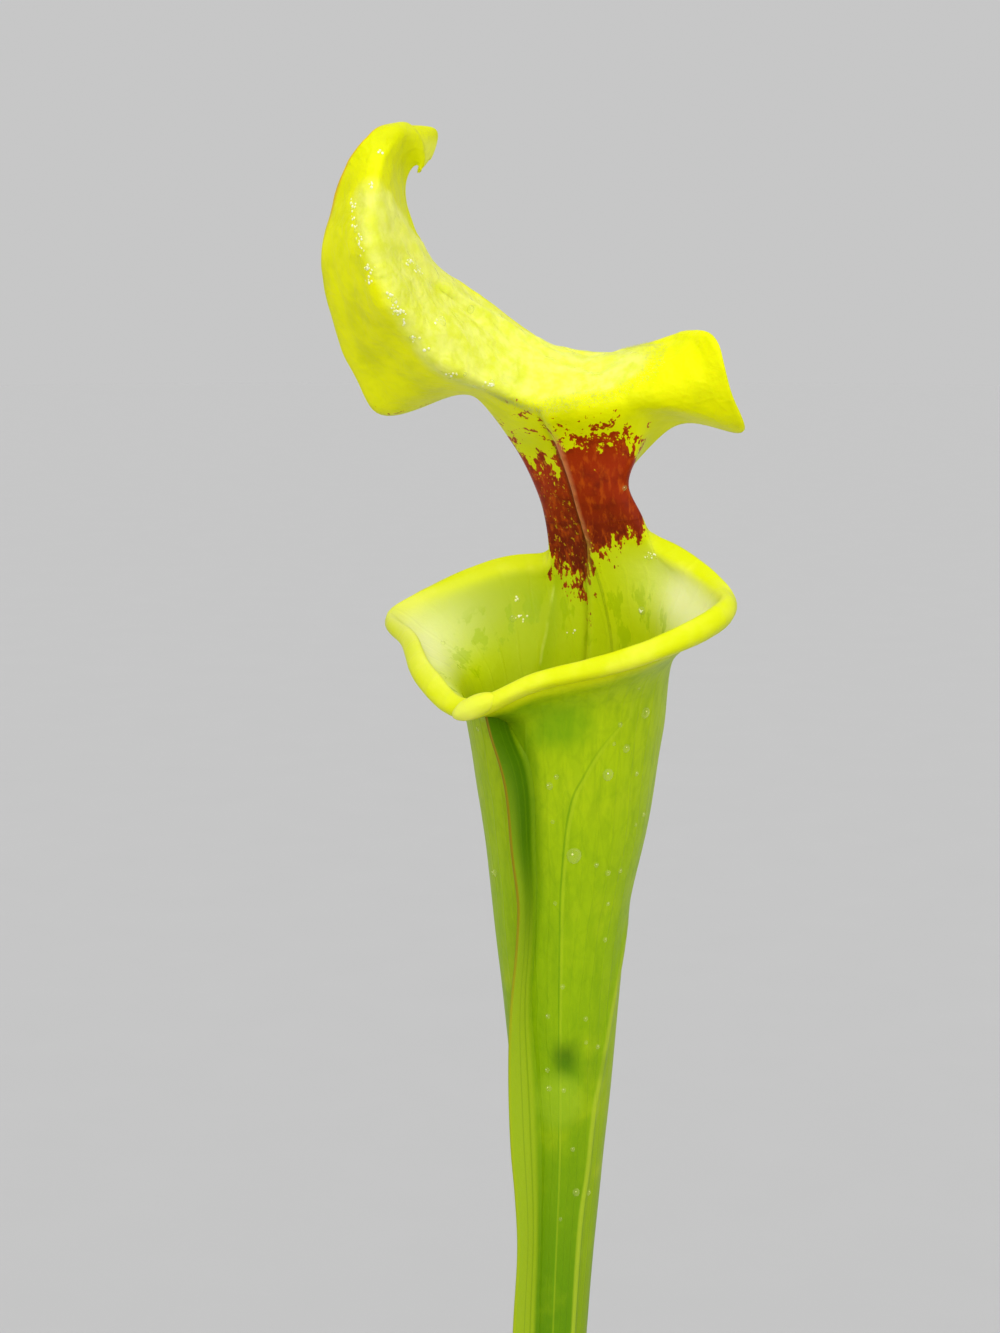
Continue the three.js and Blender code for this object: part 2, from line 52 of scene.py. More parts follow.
# Camera of the photograph: 1000 x 1333 pixels, tilted down a little, and how far it stands off
PHOTO_WIDTH = 1000
PHOTO_HEIGHT = 1333
PHOTO_FOCAL = 2381
CAMERA_TILT = radians(10)
CAMERA_DISTANCE = 500
CAMERA_AIM = (-13.2, 0, 442.5)
AHEAD = Vector((0, cos(CAMERA_TILT), -sin(CAMERA_TILT)))
EYE = Vector(CAMERA_AIM) - AHEAD * CAMERA_DISTANCE
SENSOR = 36

# Pitcher: turn of its front, its walls, its foot and the places of the rim's and the back's points,
# in degrees from the front
FRONT_TURN = radians(35)
WALL = 0.8
TIP_WALL = 0.6
TIP_ROW = 16
FOOT_RADIUS = 3.6
FOOT_LEVEL = 97
FOOT_DEPTH = 0.6 * FOOT_RADIUS
RIM_PLACES = [-148, -130, -112.5, -90, -67.5, -45, -22.5, 0, 22.5, 45, 67.5, 90, 112.5, 130, 148]
BACK_PLACES = [164, 180, -164]
SMOOTHING_STEPS = 12
DIVISIONS = 3

# Tube as rings [height, x, y, radius], and the flare above it as shares [outwards, upwards] of the way to
# the lip
TUBE = [
    [FOOT_LEVEL, 0, 0, FOOT_RADIUS], [112, 0, 0, 3.8], [150, -1.5, 0.5, 4.2], [200, -3, 1, 4.9],
    [250, -2.8, 0.6, 5.8], [295.5, -1.6, 0, 6.9], [326.5, -0.4, 0, 8.1], [348.5, 0, 0, 9.8],
    [371, -0.3, 0, 11.9], [391.5, -0.2, 0, 14.2], [407, 0.6, 0, 16.8], [423, 0.6, 0, 19.2],
    [432, 0.5, 0, 20.6],
]
FLARE = [[0.1, 0.38], [0.38, 0.66], [0.7, 0.86]]

# Rim as [x, y, z, radius of its roll, how far it curls], and the roll's section from uncurled to curled:
# rise of its top, reach of its edge and slope towards that edge
RIM = [
    [-2.5, 22.5, 463.3, 1.4, 0], [-8, 26.5, 461.8, 1.4, 0], [-20, 29.5, 458.3, 1.4, 0.1],
    [-37, 26.6, 450.4, 1.4, 0.5], [-34.6, 9, 447, 2.0, 1], [-31.8, -6, 443.5, 2.5, 1],
    [-27.4, -18, 440, 2.6, 1], [-20, -28, 438.3, 1.9, 1], [-8.5, -31, 443.5, 2.0, 1],
    [4.5, -32, 447, 1.95, 1], [19.5, -32, 451.5, 2.15, 1], [32.5, -21.5, 457, 2.1, 0.85],
    [32.3, -8, 460.2, 1.75, 0.3], [27.2, 2.1, 463.9, 1.5, 0], [20.8, 7.6, 467.4, 1.4, 0],
]
ROLL_TOP = [-0.9, 1.05]
ROLL_EDGE = [0.95, 1.4]
ROLL_SLOPE = [32, -141]

# Column above the back of the mouth, and the lid: points of each row from 0 at the left to 10 at the right,
# of which the lid has those at its places
COLUMN_FOOT = [[12.5, 10.5, 468], [6.5, 14.5, 466.5], [1, 19, 465]]
COLUMN = [
    [[0.5, 24, 470], [-2, 23, 470.5], [-3, 20, 471], [-1.5, 18, 471], [1.5, 16, 471.5], [4.5, 13.5, 472],
     [9, 10.5, 472.5], [14, 7.5, 473], [16.4, 7.8, 473], [16, 10, 472.5], [14, 12, 472]],
    [[-1.5, 22.5, 477], [-4, 21.5, 477.5], [-5, 18.5, 478], [-3.5, 16, 478], [-1, 13.5, 478.5],
     [2.5, 11, 479], [7, 8.5, 479], [11.2, 6.7, 479.5], [13.4, 7.4, 479.5], [13, 10, 478.5],
     [11.5, 12.5, 478]],
    [[-4.5, 21, 483], [-6.5, 20, 483.5], [-8, 17, 484.5], [-6, 14.5, 484.5], [-3, 12, 484.5],
     [0.5, 9, 485], [6, 6.5, 485.5], [12, 5, 486.5], [14.5, 4.5, 486], [15, 9, 485], [14.5, 13, 483.5]],
    [[-9, 18, 488.5], [-10.5, 17, 489.5], [-11, 14.5, 489.5], [-9, 12, 489.5], [-5.5, 9, 489.5],
     [-1.5, 6, 490], [5, 3.5, 491], [12, 2, 491.5], [16, 2.5, 491.5], [18, 6, 490.5], [19.5, 9, 489.5]],
]
LID_PLACES = [0, 1.5, 3, 5, 7, 8.5, 10]
LID = [
    [[-17, 13, 498], [-15.5, 9, 496], [-11.5, 5, 495], [-3.5, 2, 494],
     [9.5, -2, 495.5], [19.5, -1, 496], [27, 5, 493.5]],
    [[-24.5, 12, 498.5], [-20, 6, 499.5], [-15, -1, 500], [-5, -1, 497],
     [8.5, -3, 499], [23, -5, 498], [36.5, -2, 492]],
    [[-37, 10, 494.5], [-29.5, 0, 500.5], [-23, -10, 504.5], [-8.5, 1, 501],
     [10, 0, 502.5], [23, -6, 504], [33, -9, 501]],
    [[-42, 6, 500.5], [-35, -4, 506], [-28.5, -13, 510], [-13, 0, 506],
     [5, 6, 504.5], [19, 2, 508], [29.5, -8, 511.5]],
    [[-45, 3, 507], [-39, -7, 511], [-32.5, -16, 515], [-16.5, 0, 510],
     [-2, 9.5, 507], [10, 12, 506.5], [22, 5, 511]],
    [[-47, 0, 513.5], [-41.5, -9, 516.5], [-35.5, -18, 519], [-19.5, 0, 513.5],
     [-7.5, 9, 510], [3.5, 14.5, 507], [14, 15.5, 507.5]],
    [[-48.5, -2, 520.5], [-43, -11, 522.5], [-37, -19, 524.5], [-23, 0, 517],
     [-12.5, 7.5, 513.5], [-4, 14, 509.5], [4.5, 20, 506.5]],
    [[-49, -4, 527], [-44, -12, 528.5], [-38.5, -19, 530], [-26, -2, 520.5],
     [-17.5, 5, 517], [-11, 11.5, 513], [-5, 17.5, 510]],
    [[-47.5, -6, 534], [-43, -13, 535.5], [-38.5, -18, 536], [-29.5, -6.5, 524.5],
     [-23, 1, 520.5], [-18, 7.5, 518], [-14, 13, 516.5]],
    [[-45.5, -8, 540.5], [-41.5, -13, 540.5], [-38, -16, 541], [-33, -10.5, 531],
     [-28, -3.5, 526], [-24.5, 2.5, 523], [-21, 8.5, 521.5]],
    [[-43, -10, 546], [-40, -13, 545.5], [-37, -14, 545], [-34.5, -11.5, 537.5],
     [-31.5, -6, 532], [-29, -0.5, 528.5], [-26.5, 4.5, 525.5]],
    [[-40, -11, 550], [-37.5, -12, 549.5], [-35.5, -12, 548], [-34.5, -10, 543.5],
     [-33.5, -5.5, 538.5], [-32, -2, 534.5], [-30, 1, 531]],
    [[-36, -8, 553], [-34.5, -10, 552.5], [-33, -10, 551], [-33, -8, 548],
     [-33, -5.5, 545], [-33, -3, 542], [-32.5, -1, 539]],
    [[-29.2, 0, 553.9], [-31.2, -4.5, 553.4], [-31.5, -7.5, 551.7], [-31.5, -7, 549.5],
     [-31.5, -5.5, 548], [-31.5, -4, 546.5], [-31.5, -2, 544.5]],
    [[-25.4, 4, 552.1], [-27, 0.5, 551.7], [-28.2, -2.5, 550.7], [-28.9, -4, 549.1],
     [-29, -4, 547.7], [-29.3, -3.6, 546.5], [-29.7, -2.6, 545.6]],
    [[-26.5, 2.5, 547.3], [-27, 1.5, 546.7], [-27.4, 0.5, 546.1], [-27.8, -0.5, 545.5],
     [-28.2, -1.4, 545], [-28.6, -2.3, 544.6], [-29.1, -3.2, 544.3]],
]

# Wing as [height, place of its root, place of its edge, width], the height above which it keeps under the
# flare, its rows, and its section from the root outwards as (distance, half thickness)
WING = [
    [437, 0, -1, 8], [424, 10, 0, 8.5], [407, 10, 4, 8], [395, 10, 11, 7.5], [386, 8, 9, 7.5],
    [373, 2, 6, 8], [352, 2, -3, 9], [341, 2, -3, 9], [330.5, 2, 0, 8.5], [319.5, 2, 2, 8],
    [300, 2, -2, 8], [270, 0, 0, 7.5], [220, 0, 0, 6.5], [170, 0, 0, 5], [140, 0, 0, 3.5],
    [121, 0, 0, 1.2],
]
WING_SQUEEZE = 426
WING_ROWS = 150
WING_SECTION = [(-0.5, 1.3), (0, 0.85), (0.4, 0.6), (1.1, 0.45), (2.5, 0.38)]

# Rounded end of the rim's roll at the spout: middle, way it points, half length and radius
SPOUT_MIDDLE = [-18.2, -28.7, 439.5]
SPOUT_WAY = [0.88, -0.08, 0.42]
SPOUT_HALF_LENGTH = 4.9
SPOUT_RADIUS = 2.2

# Lines on the tube as [height, place in degrees from the front]
CURVED_VEIN = [[295, 32], [348, 31], [386, 33], [401, 32], [409, 33], [416, 36], [423, 44], [430, 56],
               [435, 70]]
RIGHT_RIDGE = [[90, 66], [295, 69], [319, 68], [334, 73], [345, 75], [354, 81], [364, 89], [374, 98],
               [384, 112], [390, 125]]
WING_ROOT = [[90, 0], [320, 2], [375, 2], [388, 8], [408, 10], [424, 9], [432, 6], [439, 2]]

# Column: its crease as [row, share across], and the edge of its strap down inside the tube as [row, place]
CREASE = [[-6, 3], [-3, 3.6], [-2, 3.95], [-1, 4.29], [0, 4.62], [0.5, 4.93], [1, 5], [6, 5]]
STRAP = [[-6, -112], [-2.5, -129], [-1.7, -136], [-0.8, -143], [0, -148]]

# Red patch on the column's front: heights of its top and bottom at shares of the way across,
# and specked places as [share across, height, half width, half height, depth]
RED_TOP = [[2, 490], [2.4, 488], [2.8, 485], [4.5, 485.4], [4.95, 487], [5.05, 489.5], [5.7, 489.6],
           [6.2, 491], [6.8, 491.5], [7.3, 489.5], [8.2, 489], [8.6, 487], [9, 464], [10, 460]]
RED_BOTTOM = [[2, 463], [3.3, 460], [4.2, 458.5], [4.9, 459], [5.05, 466.5], [5.7, 465], [6.5, 468],
              [8, 471], [10, 473]]
RED_SPECKS = [[4.2, 493.5, 0.9, 4, -2.8], [3.75, 455, 0.65, 6, -0.4], [4.4, 488.5, 0.4, 2.5, -3.4],
              [5.1, 460.5, 0.5, 4, -3.6], [7.6, 466, 0.6, 3, -3.8]]

# Pale crest of the lid: where it starts as [row, share across] and ends as [share across, row]
PALE_START = [[7, 2.45], [8.3, 2.55], [9.3, 2.85], [10.4, 2.95], [10.9, 2.7], [12, 2.55], [12.6, 2.3],
              [13.6, 1.5]]
PALE_END = [[1, 14.2], [3.9, 14.75], [4.7, 15.2], [6, 15.45], [7.2, 15.65], [8.1, 15.8], [9, 15.7]]

# Front margin of the lid's tip as [share across, row], the row of the fold between crest and right lobe,
# and the hairs along it
TIP_MARGIN = [[0, 17.4], [1, 17.7], [2, 18.2], [3.7, 18.8], [4.8, 19.3], [7.4, 19.6], [10, 19.7]]
FOLD_ROW = 6
HAIR_COUNT = 2600
HAIR_WIDTH = 0.06
HAIR_LENGTHS = (0.3, 0.7)

# Large drops as [x, y, width], all in pixels of the photograph, millimetres a pixel there, a drop's height
# as a share of its width, and its rings and sides
DROPS = [
    [644.9, 712.2, 10.6], [607.8, 774.2, 11.4], [549.4, 785.7, 7.3], [556.3, 776.7, 5], [573.9, 855, 15],
    [525.3, 893, 9], [530.2, 920.3, 5.7], [530.2, 940.8, 4.5], [530.6, 954.2, 3.7], [555.1, 903.2, 4],
    [547.8, 1015.9, 5], [585.7, 1018.7, 5], [596.3, 864.8, 5], [607.8, 872.6, 6], [620, 870.6, 5],
    [607.8, 903.6, 4.5], [604.9, 939.5, 5], [562.4, 986.5, 5], [552.7, 821.6, 4], [547.3, 1069.7, 5],
    [549, 1088, 6], [563.7, 1090, 5], [531.8, 1150.6, 8], [572.7, 1149, 5], [588.2, 1192.2, 6],
    [560.4, 1219, 4], [626, 748, 8], [620, 724.4, 5], [613.9, 743.6, 4], [636.3, 773.4, 5],
    [642.9, 814.2, 5], [635.5, 824.4, 4], [515.5, 825.7, 3.5], [495.5, 872.6, 7], [478.8, 728.5, 5],
    [597.6, 1046.5, 5], [586, 1042.4, 4], [529.8, 1262.4, 4], [523.7, 1213.4, 5], [576, 1192, 8],
    [642, 610.2, 8], [649, 557, 6], [518.4, 600, 4], [513, 618.4, 7], [442.9, 642.9, 5],
    [441.2, 320.8, 10], [470.6, 309, 8], [408.2, 261.2, 5], [416.3, 267.3, 5], [367.3, 267.3, 5],
    [393.9, 300, 6], [398, 312.2, 5], [411, 336.7, 4], [491.8, 382.4, 6], [371.4, 184.9, 3],
    [352.7, 208, 4], [356, 230.6, 4], [465, 374, 4], [428.6, 349, 3.5], [624.5, 487.8, 5],
    [638.8, 687.8, 4],
]
DROP_SCALE = 0.21
DROP_HEIGHT = 0.4
DROP_GRID = (7, 16)

# Clusters of fine water beads, near white as painted glints of the wet surface, as [x, y, reach across, reach
# down, count] in photo pixels, and their widths
GLINT_BEAD_CLUSTERS = [
    [371, 183, 3, 6, 5], [354, 206, 4, 8, 9], [353, 222, 4, 8, 7], [358, 236, 4, 10, 8],
    [363, 250, 4, 8, 6], [369, 268, 7, 5, 14], [369, 281, 4, 4, 5], [389, 296, 4, 3, 7],
    [395, 304, 4, 4, 8], [399, 313, 6, 4, 13], [404, 323, 4, 4, 7], [415, 338, 4, 4, 6],
    [426, 350, 4, 4, 5], [454, 374, 6, 3, 6], [488, 384, 8, 3, 9], [411, 263, 7, 4, 10],
    [419, 271, 6, 3, 7], [440, 321, 5, 4, 4], [651, 556, 4, 8, 7], [641, 610, 3, 3, 4],
    [518, 600, 3, 4, 4], [522, 618, 6, 4, 7], [573, 631, 4, 3, 3], [381, 152, 4, 3, 3],
]
GLINT_BEAD_WIDTHS = [1.1, 2.9]

# Pot, soil and rhizome, the same sizes as the frame's solids
POT_HEIGHT = 120
POT_TOP = 65
POT_FOOT = 48
POT_WALL = 2.2
POT_FLOOR = 3
POT_BAND = 104
POT_STEP = 2
POT_SIDES = 160
EASE_STEPS = 5
DRAIN_COUNT = 6
DRAIN_RADIUS = 4.5
DRAIN_CIRCLE = 32
DRAIN_SIDES = 40
DRAIN_OVER = 2
SOIL_LEVEL = 107
SOIL_GAP = 0.3
SOIL_RADIUS = 60.5
SOIL_ROUGHNESS = 1.3
SOIL_EDGE_DROP = 3
SOIL_RINGS = 64
SOIL_SIDES = 168
SOCKET = 12.9
SOCKET_DEPTH = 6
CROWN_RISE = 7
CROWN_SIDES = 120
SCALE_COUNT = 6
SCALE_LENGTH = 24
SCALE_WIDTH = 8.5
SCALE_TIP_WIDTH = 0.8
SCALE_THICKNESS = 1.6
SCALE_TIP_THICKNESS = 0.35
SCALE_CUP = 0.06
SCALE_SINK = 6
SCALE_OUT = 7.5
SCALE_LEAN = 3.2
SCALE_GRID = (40, 16)

# Grains on the soil as [fineness, count, sizes, flatness, roughness, least distance from the middle]
CRUMBS = [2, 1300, (0.8, 3.2), (0.5, 1.0), 0.9, SOCKET + 0.4]
GRIT = [3, 60, (1.2, 3.4), (0.7, 1.1), 0.6, SOCKET + 2]

# Moss patches as [distance from the middle, turn in degrees, radius], the space between heads, and a
# head's whorls as [rise, spread, leaves]
MOSS_PATCHES = [[40, 205, 17], [42, 330, 14], [30, 75, 12], [52, 140, 7], [20, 270, 8]]
MOSS_SPACING = 2.5
MOSS_WHORLS = [[0.6, 1.9, 7], [1.5, 1.5, 7], [2.3, 0.8, 6]]
SEED = 8

# Lights as [name, strength, turn to the right of the front, height angle, spread], and the floor
LIGHTS = [["left_top", 0.4, -35, 60, 35], ["right_top", 0.34, 60, 62, 35], ["front", 1.46, 2, 22, 60],
          ["left_glint", 0.15, -50, 62, 8], ["right_glint", 0.15, 40, 66, 8]]
WORLD_SHADE = 0.57
FLOOR_SHADE = 0.535
FLOOR_RADIUS = 9000
FLOOR_SIDES = 96


def to_linear(levels):
    """Linear colour of an 8-bit screen colour."""
    shares = [level / 255 for level in levels]
    return [s / 12.92 if s <= 0.04045 else ((s + 0.055) / 1.055) ** 2.4 for s in shares] + [1.0]


def arithmetic(operation):
    """Method that puts a node between a value and another."""
    return lambda value, other: value.nodes.math(operation, value, other)


class Value:
    """What a node gives, with short calls that build further nodes on it."""

    __add__, __sub__, __mul__, __pow__ = map(arithmetic, ("ADD", "SUBTRACT", "MULTIPLY", "POWER"))

    def __init__(self, nodes, socket):
        self.nodes = nodes
        self.socket = socket

    def fade(self, low, high):
        """0 at low, 1 at high, and smooth in between."""
        inputs = {"Value": self, "From Min": low, "From Max": high}
        return self.nodes.make("MapRange", 0, inputs, interpolation_type="SMOOTHSTEP")

    def near(self, middle, reach, core):
        """1 within a core round the middle, fading to 0 at the reach."""
        return self.nodes.math("ABSOLUTE", self - middle).fade(reach, core)

    def curve(self, points):
        """Value of a smooth curve through [at, value] points."""
        ats, values = zip(*points)
        low, high, floor, top = min(ats), max(ats), min(values), max(values)
        inwards = self.nodes.make("MapRange", 0, {"Value": self, "From Min": low, "From Max": high})
        node = self.nodes.node("FloatCurve", {"Value": inwards})
        line = node.mapping.curves[0].points
        while len(line) < len(points):
            line.new(0.5, 0.5)
        for dot, (at, to) in zip(line, points):
            dot.location = ((at - low) / (high - low), (to - floor) / (top - floor))
        node.mapping.update()
        result = Value(self.nodes, node.outputs[0])
        return self.nodes.make("MapRange", 0, {"Value": result, "To Min": floor, "To Max": top})


class Nodes:
    """Short calls that build the nodes of one material."""

    def __init__(self, name):
        self.material = bpy.data.materials.new(name)
        self.material.use_nodes = True
        self.tree = self.material.node_tree
        self.shader = self.tree.nodes["Principled BSDF"]

    def put(self, socket, value):
        """Links a value to a socket, or sets the socket; a tuple is an 8-bit screen colour."""
        if isinstance(value, Value):
            self.tree.links.new(value.socket, socket)
        else:
            socket.default_value = to_linear(value) if isinstance(value, tuple) else value

    def node(self, kind, inputs, **settings):
        node = self.tree.nodes.new("ShaderNode" + kind)
        for key, value in settings.items():
            setattr(node, key, value)
        for socket, value in inputs.items():
            self.put(node.inputs[socket], value)
        return node

    def make(self, kind, output, inputs, **settings):
        return Value(self, self.node(kind, inputs, **settings).outputs[output])

    def attribute(self, name):
        return self.make("Attribute", "Fac", {}, attribute_name=name)

    def spot(self):
        """Place on the piece, in millimetres."""
        vector = self.make("TexCoord", "Object", {})
        return self.make("VectorMath", 0, {0: vector, "Scale": 1 / MM}, operation="SCALE")

    def height(self):
        return self.make("SeparateXYZ", "Z", {0: self.spot()})

    def math(self, operation, a, b=0.0):
        return self.make("Math", 0, {0: a, 1: b}, operation=operation)

    def lumps(self, size, stretch):
        """Place on the piece, in steps of a size in millimetres."""
        inputs = {0: self.spot(), 1: [s / size for s in stretch]}
        return self.make("VectorMath", 0, inputs, operation="MULTIPLY")

    def noise(self, size, detail=3, stretch=(1, 1, 1), roughness=0.55):
        """Noise from 0 to 1 with lumps of about this size in millimetres."""
        inputs = {"Vector": self.lumps(size, stretch), "Scale": 1, "Detail": detail, "Roughness": roughness}
        return self.make("TexNoise", "Fac", inputs)

    def cells(self, size, stretch=(1, 1, 1)):
        """Distance from the edges of a net of cells."""
        inputs = {"Vector": self.lumps(size, stretch), "Scale": 1}
        return self.make("TexVoronoi", 0, inputs, feature="DISTANCE_TO_EDGE")

    def mix(self, share, under, over):
        return self.make("Mix", 2, {0: share, 6: under, 7: over}, data_type="RGBA")

    def coats(self, color, *coats):
        """Colour with coats laid over it, each a share from 0 to 1 and a colour."""
        for share, over in coats:
            color = self.mix(share, color, over)
        return color

    def finish(self, color, roughness, relief=None, depth=0, **sockets):
        """The material, with a relief whose depth is in millimetres."""
        sockets.update({"Base Color": color, "Roughness": roughness})
        if relief:
            inputs = {"Height": relief, "Distance": depth * MM, "Strength": 1}
            sockets["Normal"] = self.make("Bump", 0, inputs)
        for name, value in sockets.items():
            self.put(self.shader.inputs[name.replace("_", " ")], value)
        return self.material


def new_piece(name, points, faces, material, marks=None):
    """Smooth-shaded object from points in millimetres, with its marks as attributes."""
    mesh = bpy.data.meshes.new(name)
    mesh.from_pydata((np.asarray(points, float) * MM).tolist(), [], [tuple(map(int, face)) for face in faces])
    for mark, values in (marks or {}).items():
        mesh.attributes.new(mark, "FLOAT", "POINT").data.foreach_set("value", np.asarray(values, np.float32))
    mesh.polygons.foreach_set("use_smooth", [True] * len(mesh.polygons))
    mesh.validate()
    piece = bpy.data.objects.new(name, mesh)
    bpy.context.collection.objects.link(piece)
    if material:
        mesh.materials.append(material)
    return piece


def keep(piece, slot, *nodes):
    """Puts a piece on the plant's only body and hides the nodes that it stands for."""
    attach(piece, "root")
    if nodes:
        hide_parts(*nodes)


# Pitcher's sheet


def direction(place):
    """Horizontal direction at a place round the tube, in degrees from the pitcher's front."""
    turn = radians(place) - FRONT_TURN
    return np.array([sin(turn), -cos(turn), 0.0])


def mixed(a, b, share):
    return a + (b - a) * share


def along(places, points, at):
    """Point at a place on a smooth curve through unevenly spaced points."""
    points = np.array(points, float)
    slopes = np.gradient(points, places, axis=0)
    k = int(np.clip(np.searchsorted(places, at) - 1, 0, len(places) - 2))
    span = places[k + 1] - places[k]
    t = (at - places[k]) / span
    return ((2 * t**3 - 3 * t**2 + 1) * points[k] + (t**3 - 2 * t**2 + t) * span * slopes[k]
            + (3 * t**2 - 2 * t**3) * points[k + 1] + (t**3 - t**2) * span * slopes[k + 1])


class Sheet:
    """Four-sided faces through placed points, and what each point is: how far round the tube, its row up the
    column and the lid, how far across them, 1 on the column and the lid, and its band of the rim's roll."""

    def __init__(self):
        self.points = []
        self.faces = []
        self.marks = {"side_sin": [], "side_cos": [], "row": [], "across": [], "column": [], "roll": []}

    def add(self, point, place, row, across=5, column=0, roll=0):
        self.points.append(np.asarray(point, float))
        turn = radians(place)
        values = (sin(turn), cos(turn), row, across, column, roll)
        for mark, value in zip(self.marks, values):
            self.marks[mark].append(value)
        return len(self.points) - 1


def add_tube(sheet):
    """Rings up the tube and the flare; returns the last one, which is the lip."""
    places = RIM_PLACES + BACK_PLACES
    count, end = len(places), len(RIM) - 1
    rings = [[direction(place) * radius + (x, y, z) for place in places] for z, x, y, radius in TUBE]
    throat = rings[-1]
    lip = [np.array(p[:3], float) for p in RIM + COLUMN_FOOT]
    for out, up in FLARE:
        share = np.array([out, out, up])
        rings.append([mixed(point, edge, share) for point, edge in zip(throat, lip)])
    across = [3, 2, 1] + [0] * 5 + [10] * 4 + [9, 8, 7, 6, 5, 4]
    tube = []
    for level, ring in enumerate(rings):
        row = level - len(rings) + 1
        tube.append([sheet.add(point, places[i], row, across[i], int(i == 0 or i >= end))
                     for i, point in enumerate(ring)])
    foot = sheet.add((0, 0, FOOT_LEVEL - FOOT_DEPTH), 0, 1 - len(rings))
    for i in range(0, count, 2):
        sheet.faces.append((foot, tube[0][(i + 2) % count], tube[0][i + 1], tube[0][i]))
    for low, high in zip(tube, tube[1:]):
        for i in range(count):
            j = (i + 1) % count
            sheet.faces.append((low[i], low[j], high[j], high[i]))
    return tube[-1]


def add_roll(sheet, mouth):
    """The rim's roll: three bands of points beside the lip, joined to it."""
    roll = [[], [], []]
    for i, (x, y, z, radius, curl) in enumerate(RIM):
        slope = radians(mixed(*ROLL_SLOPE, curl))
        edge = mixed(*ROLL_EDGE, curl)
        spots = ((-1, mixed(*ROLL_TOP, curl)), (0, 0), (edge * cos(slope), edge * sin(slope)))
        for band, (out, up) in enumerate(spots):
            point = radius * (out * direction(RIM_PLACES[i]) + (0, 0, up)) + (x, y, z)
            side = 2 - band if i < 3 else 8 + band
            roll[band].append(sheet.add(point, RIM_PLACES[i], 0, side, 0, band + 1))
    bands = [mouth] + roll
    for i in range(len(RIM) - 1):
        for low, high in zip(bands, bands[1:]):
            sheet.faces.append((low[i], low[i + 1], high[i + 1], high[i]))
    return roll


def pitcher_sheet():
    sheet = Sheet()
    mouth = add_tube(sheet)
    top, middle, outer = add_roll(sheet, mouth)
    end = len(RIM) - 1
    row = [outer[0], middle[0], top[0], mouth[0], mouth[end + 3], mouth[end + 2], mouth[end + 1],
           mouth[end], top[end], middle[end], outer[end]]
    upper = COLUMN + [[along(LID_PLACES, points, i) for i in range(len(row))] for points in LID]
    for level, points in enumerate(upper):
        following = [sheet.add(point, 180, level + 1, i, 1) for i, point in enumerate(points)]
        for i in range(len(row) - 1):
            sheet.faces.append((row[i + 1], row[i], following[i], following[i + 1]))
        row = following
    return sheet


def open_edges(faces):
    """Edges that only one face has, each as that face runs along it."""
    edges = set(zip(faces.ravel(), np.roll(faces, -1, axis=1).ravel()))
    return [(a, b) for a, b in edges if (b, a) not in edges]


def reach(points, faces):
    """Moves the points outwards until the rounded surface passes through where they started."""
    count = len(points)
    faces = np.array(faces)
    beside, opposite, rim = np.zeros((3, count, count))
    for k in range(4):
        a, b, c = (faces[:, (k + step) % 4] for step in range(3))
        beside[a, b] = beside[b, a] = 1
        np.add.at(opposite, (a, c), 1)
    for a, b in open_edges(faces):
        rim[a, b] = rim[b, a] = 1
    n = beside.sum(axis=1, keepdims=True)
    inside = (n * n * np.eye(count) + 4 * beside + opposite) / (n * (n + 5))
    weights = np.where(rim.any(axis=1)[:, None], (4 * np.eye(count) + rim) / 6, inside)
    goal = np.array(points)
    moved = goal.copy()
    for _ in range(SMOOTHING_STEPS):
        moved += goal - weights @ moved
    return moved


def rounded(sheet):
    """The sheet's rounded surface as arrays of points, faces and marks."""
    coarse = new_piece("sheet", reach(sheet.points, sheet.faces), sheet.faces, None, sheet.marks)
    coarse.modifiers.new("rounding", "SUBSURF").levels = DIVISIONS
    fine = coarse.evaluated_get(bpy.context.evaluated_depsgraph_get()).to_mesh()
    count = len(fine.vertices)
    points = np.empty(count * 3)
    fine.vertices.foreach_get("co", points)
    corners = np.empty(len(fine.loops), int)
    fine.loops.foreach_get("vertex_index", corners)
    marks = {mark: np.empty(count, np.float32) for mark in sheet.marks}
    for mark, values in marks.items():
        fine.attributes[mark].data.foreach_get("value", values)
        marks[mark] = values.astype(float)
    bpy.data.objects.remove(coarse)
    return points.reshape(-1, 3) / MM, corners.reshape(-1, 4), marks


def normals_of(points, faces):
    """Unit normal at each point."""
    crossed = np.cross(points[faces[:, 2]] - points[faces[:, 0]], points[faces[:, 3]] - points[faces[:, 1]])
    total = np.zeros_like(points)
    for k in range(4):
        np.add.at(total, faces[:, k], crossed)
    return total / np.linalg.norm(total, axis=1, keepdims=True)


def ramp(values, low, high):
    """0 at low, 1 at high, and smooth in between."""
    t = np.clip((values - low) / (high - low), 0, 1)
    return t * t * (3 - 2 * t)


def hump(values, centre, width):
    return np.exp(-((values - centre) / width) ** 2)


def falling(values, start, width):
    """1 up to the start and then dying away."""
    return np.exp(-np.clip(values - start, 0, 60) / width)


def lumps(points, size, seed):
    """Soft noise from about -1 to 1 at each point, with lumps of a size in millimetres."""
    shift = Vector((seed, 2 * seed, -seed))
    return np.array([noise.noise(Vector(p) / size + shift) for p in points])


def listed(values, pairs):
    """Value at each place of a list of [at, value] pairs."""
    ats, results = zip(*pairs)
    return np.interp(values, ats, results)


def fold_row(across):
    """Row of the fold between the lid's crest and its right lobe."""
    return FOLD_ROW + np.maximum(0, (across - 7) / 0.75)


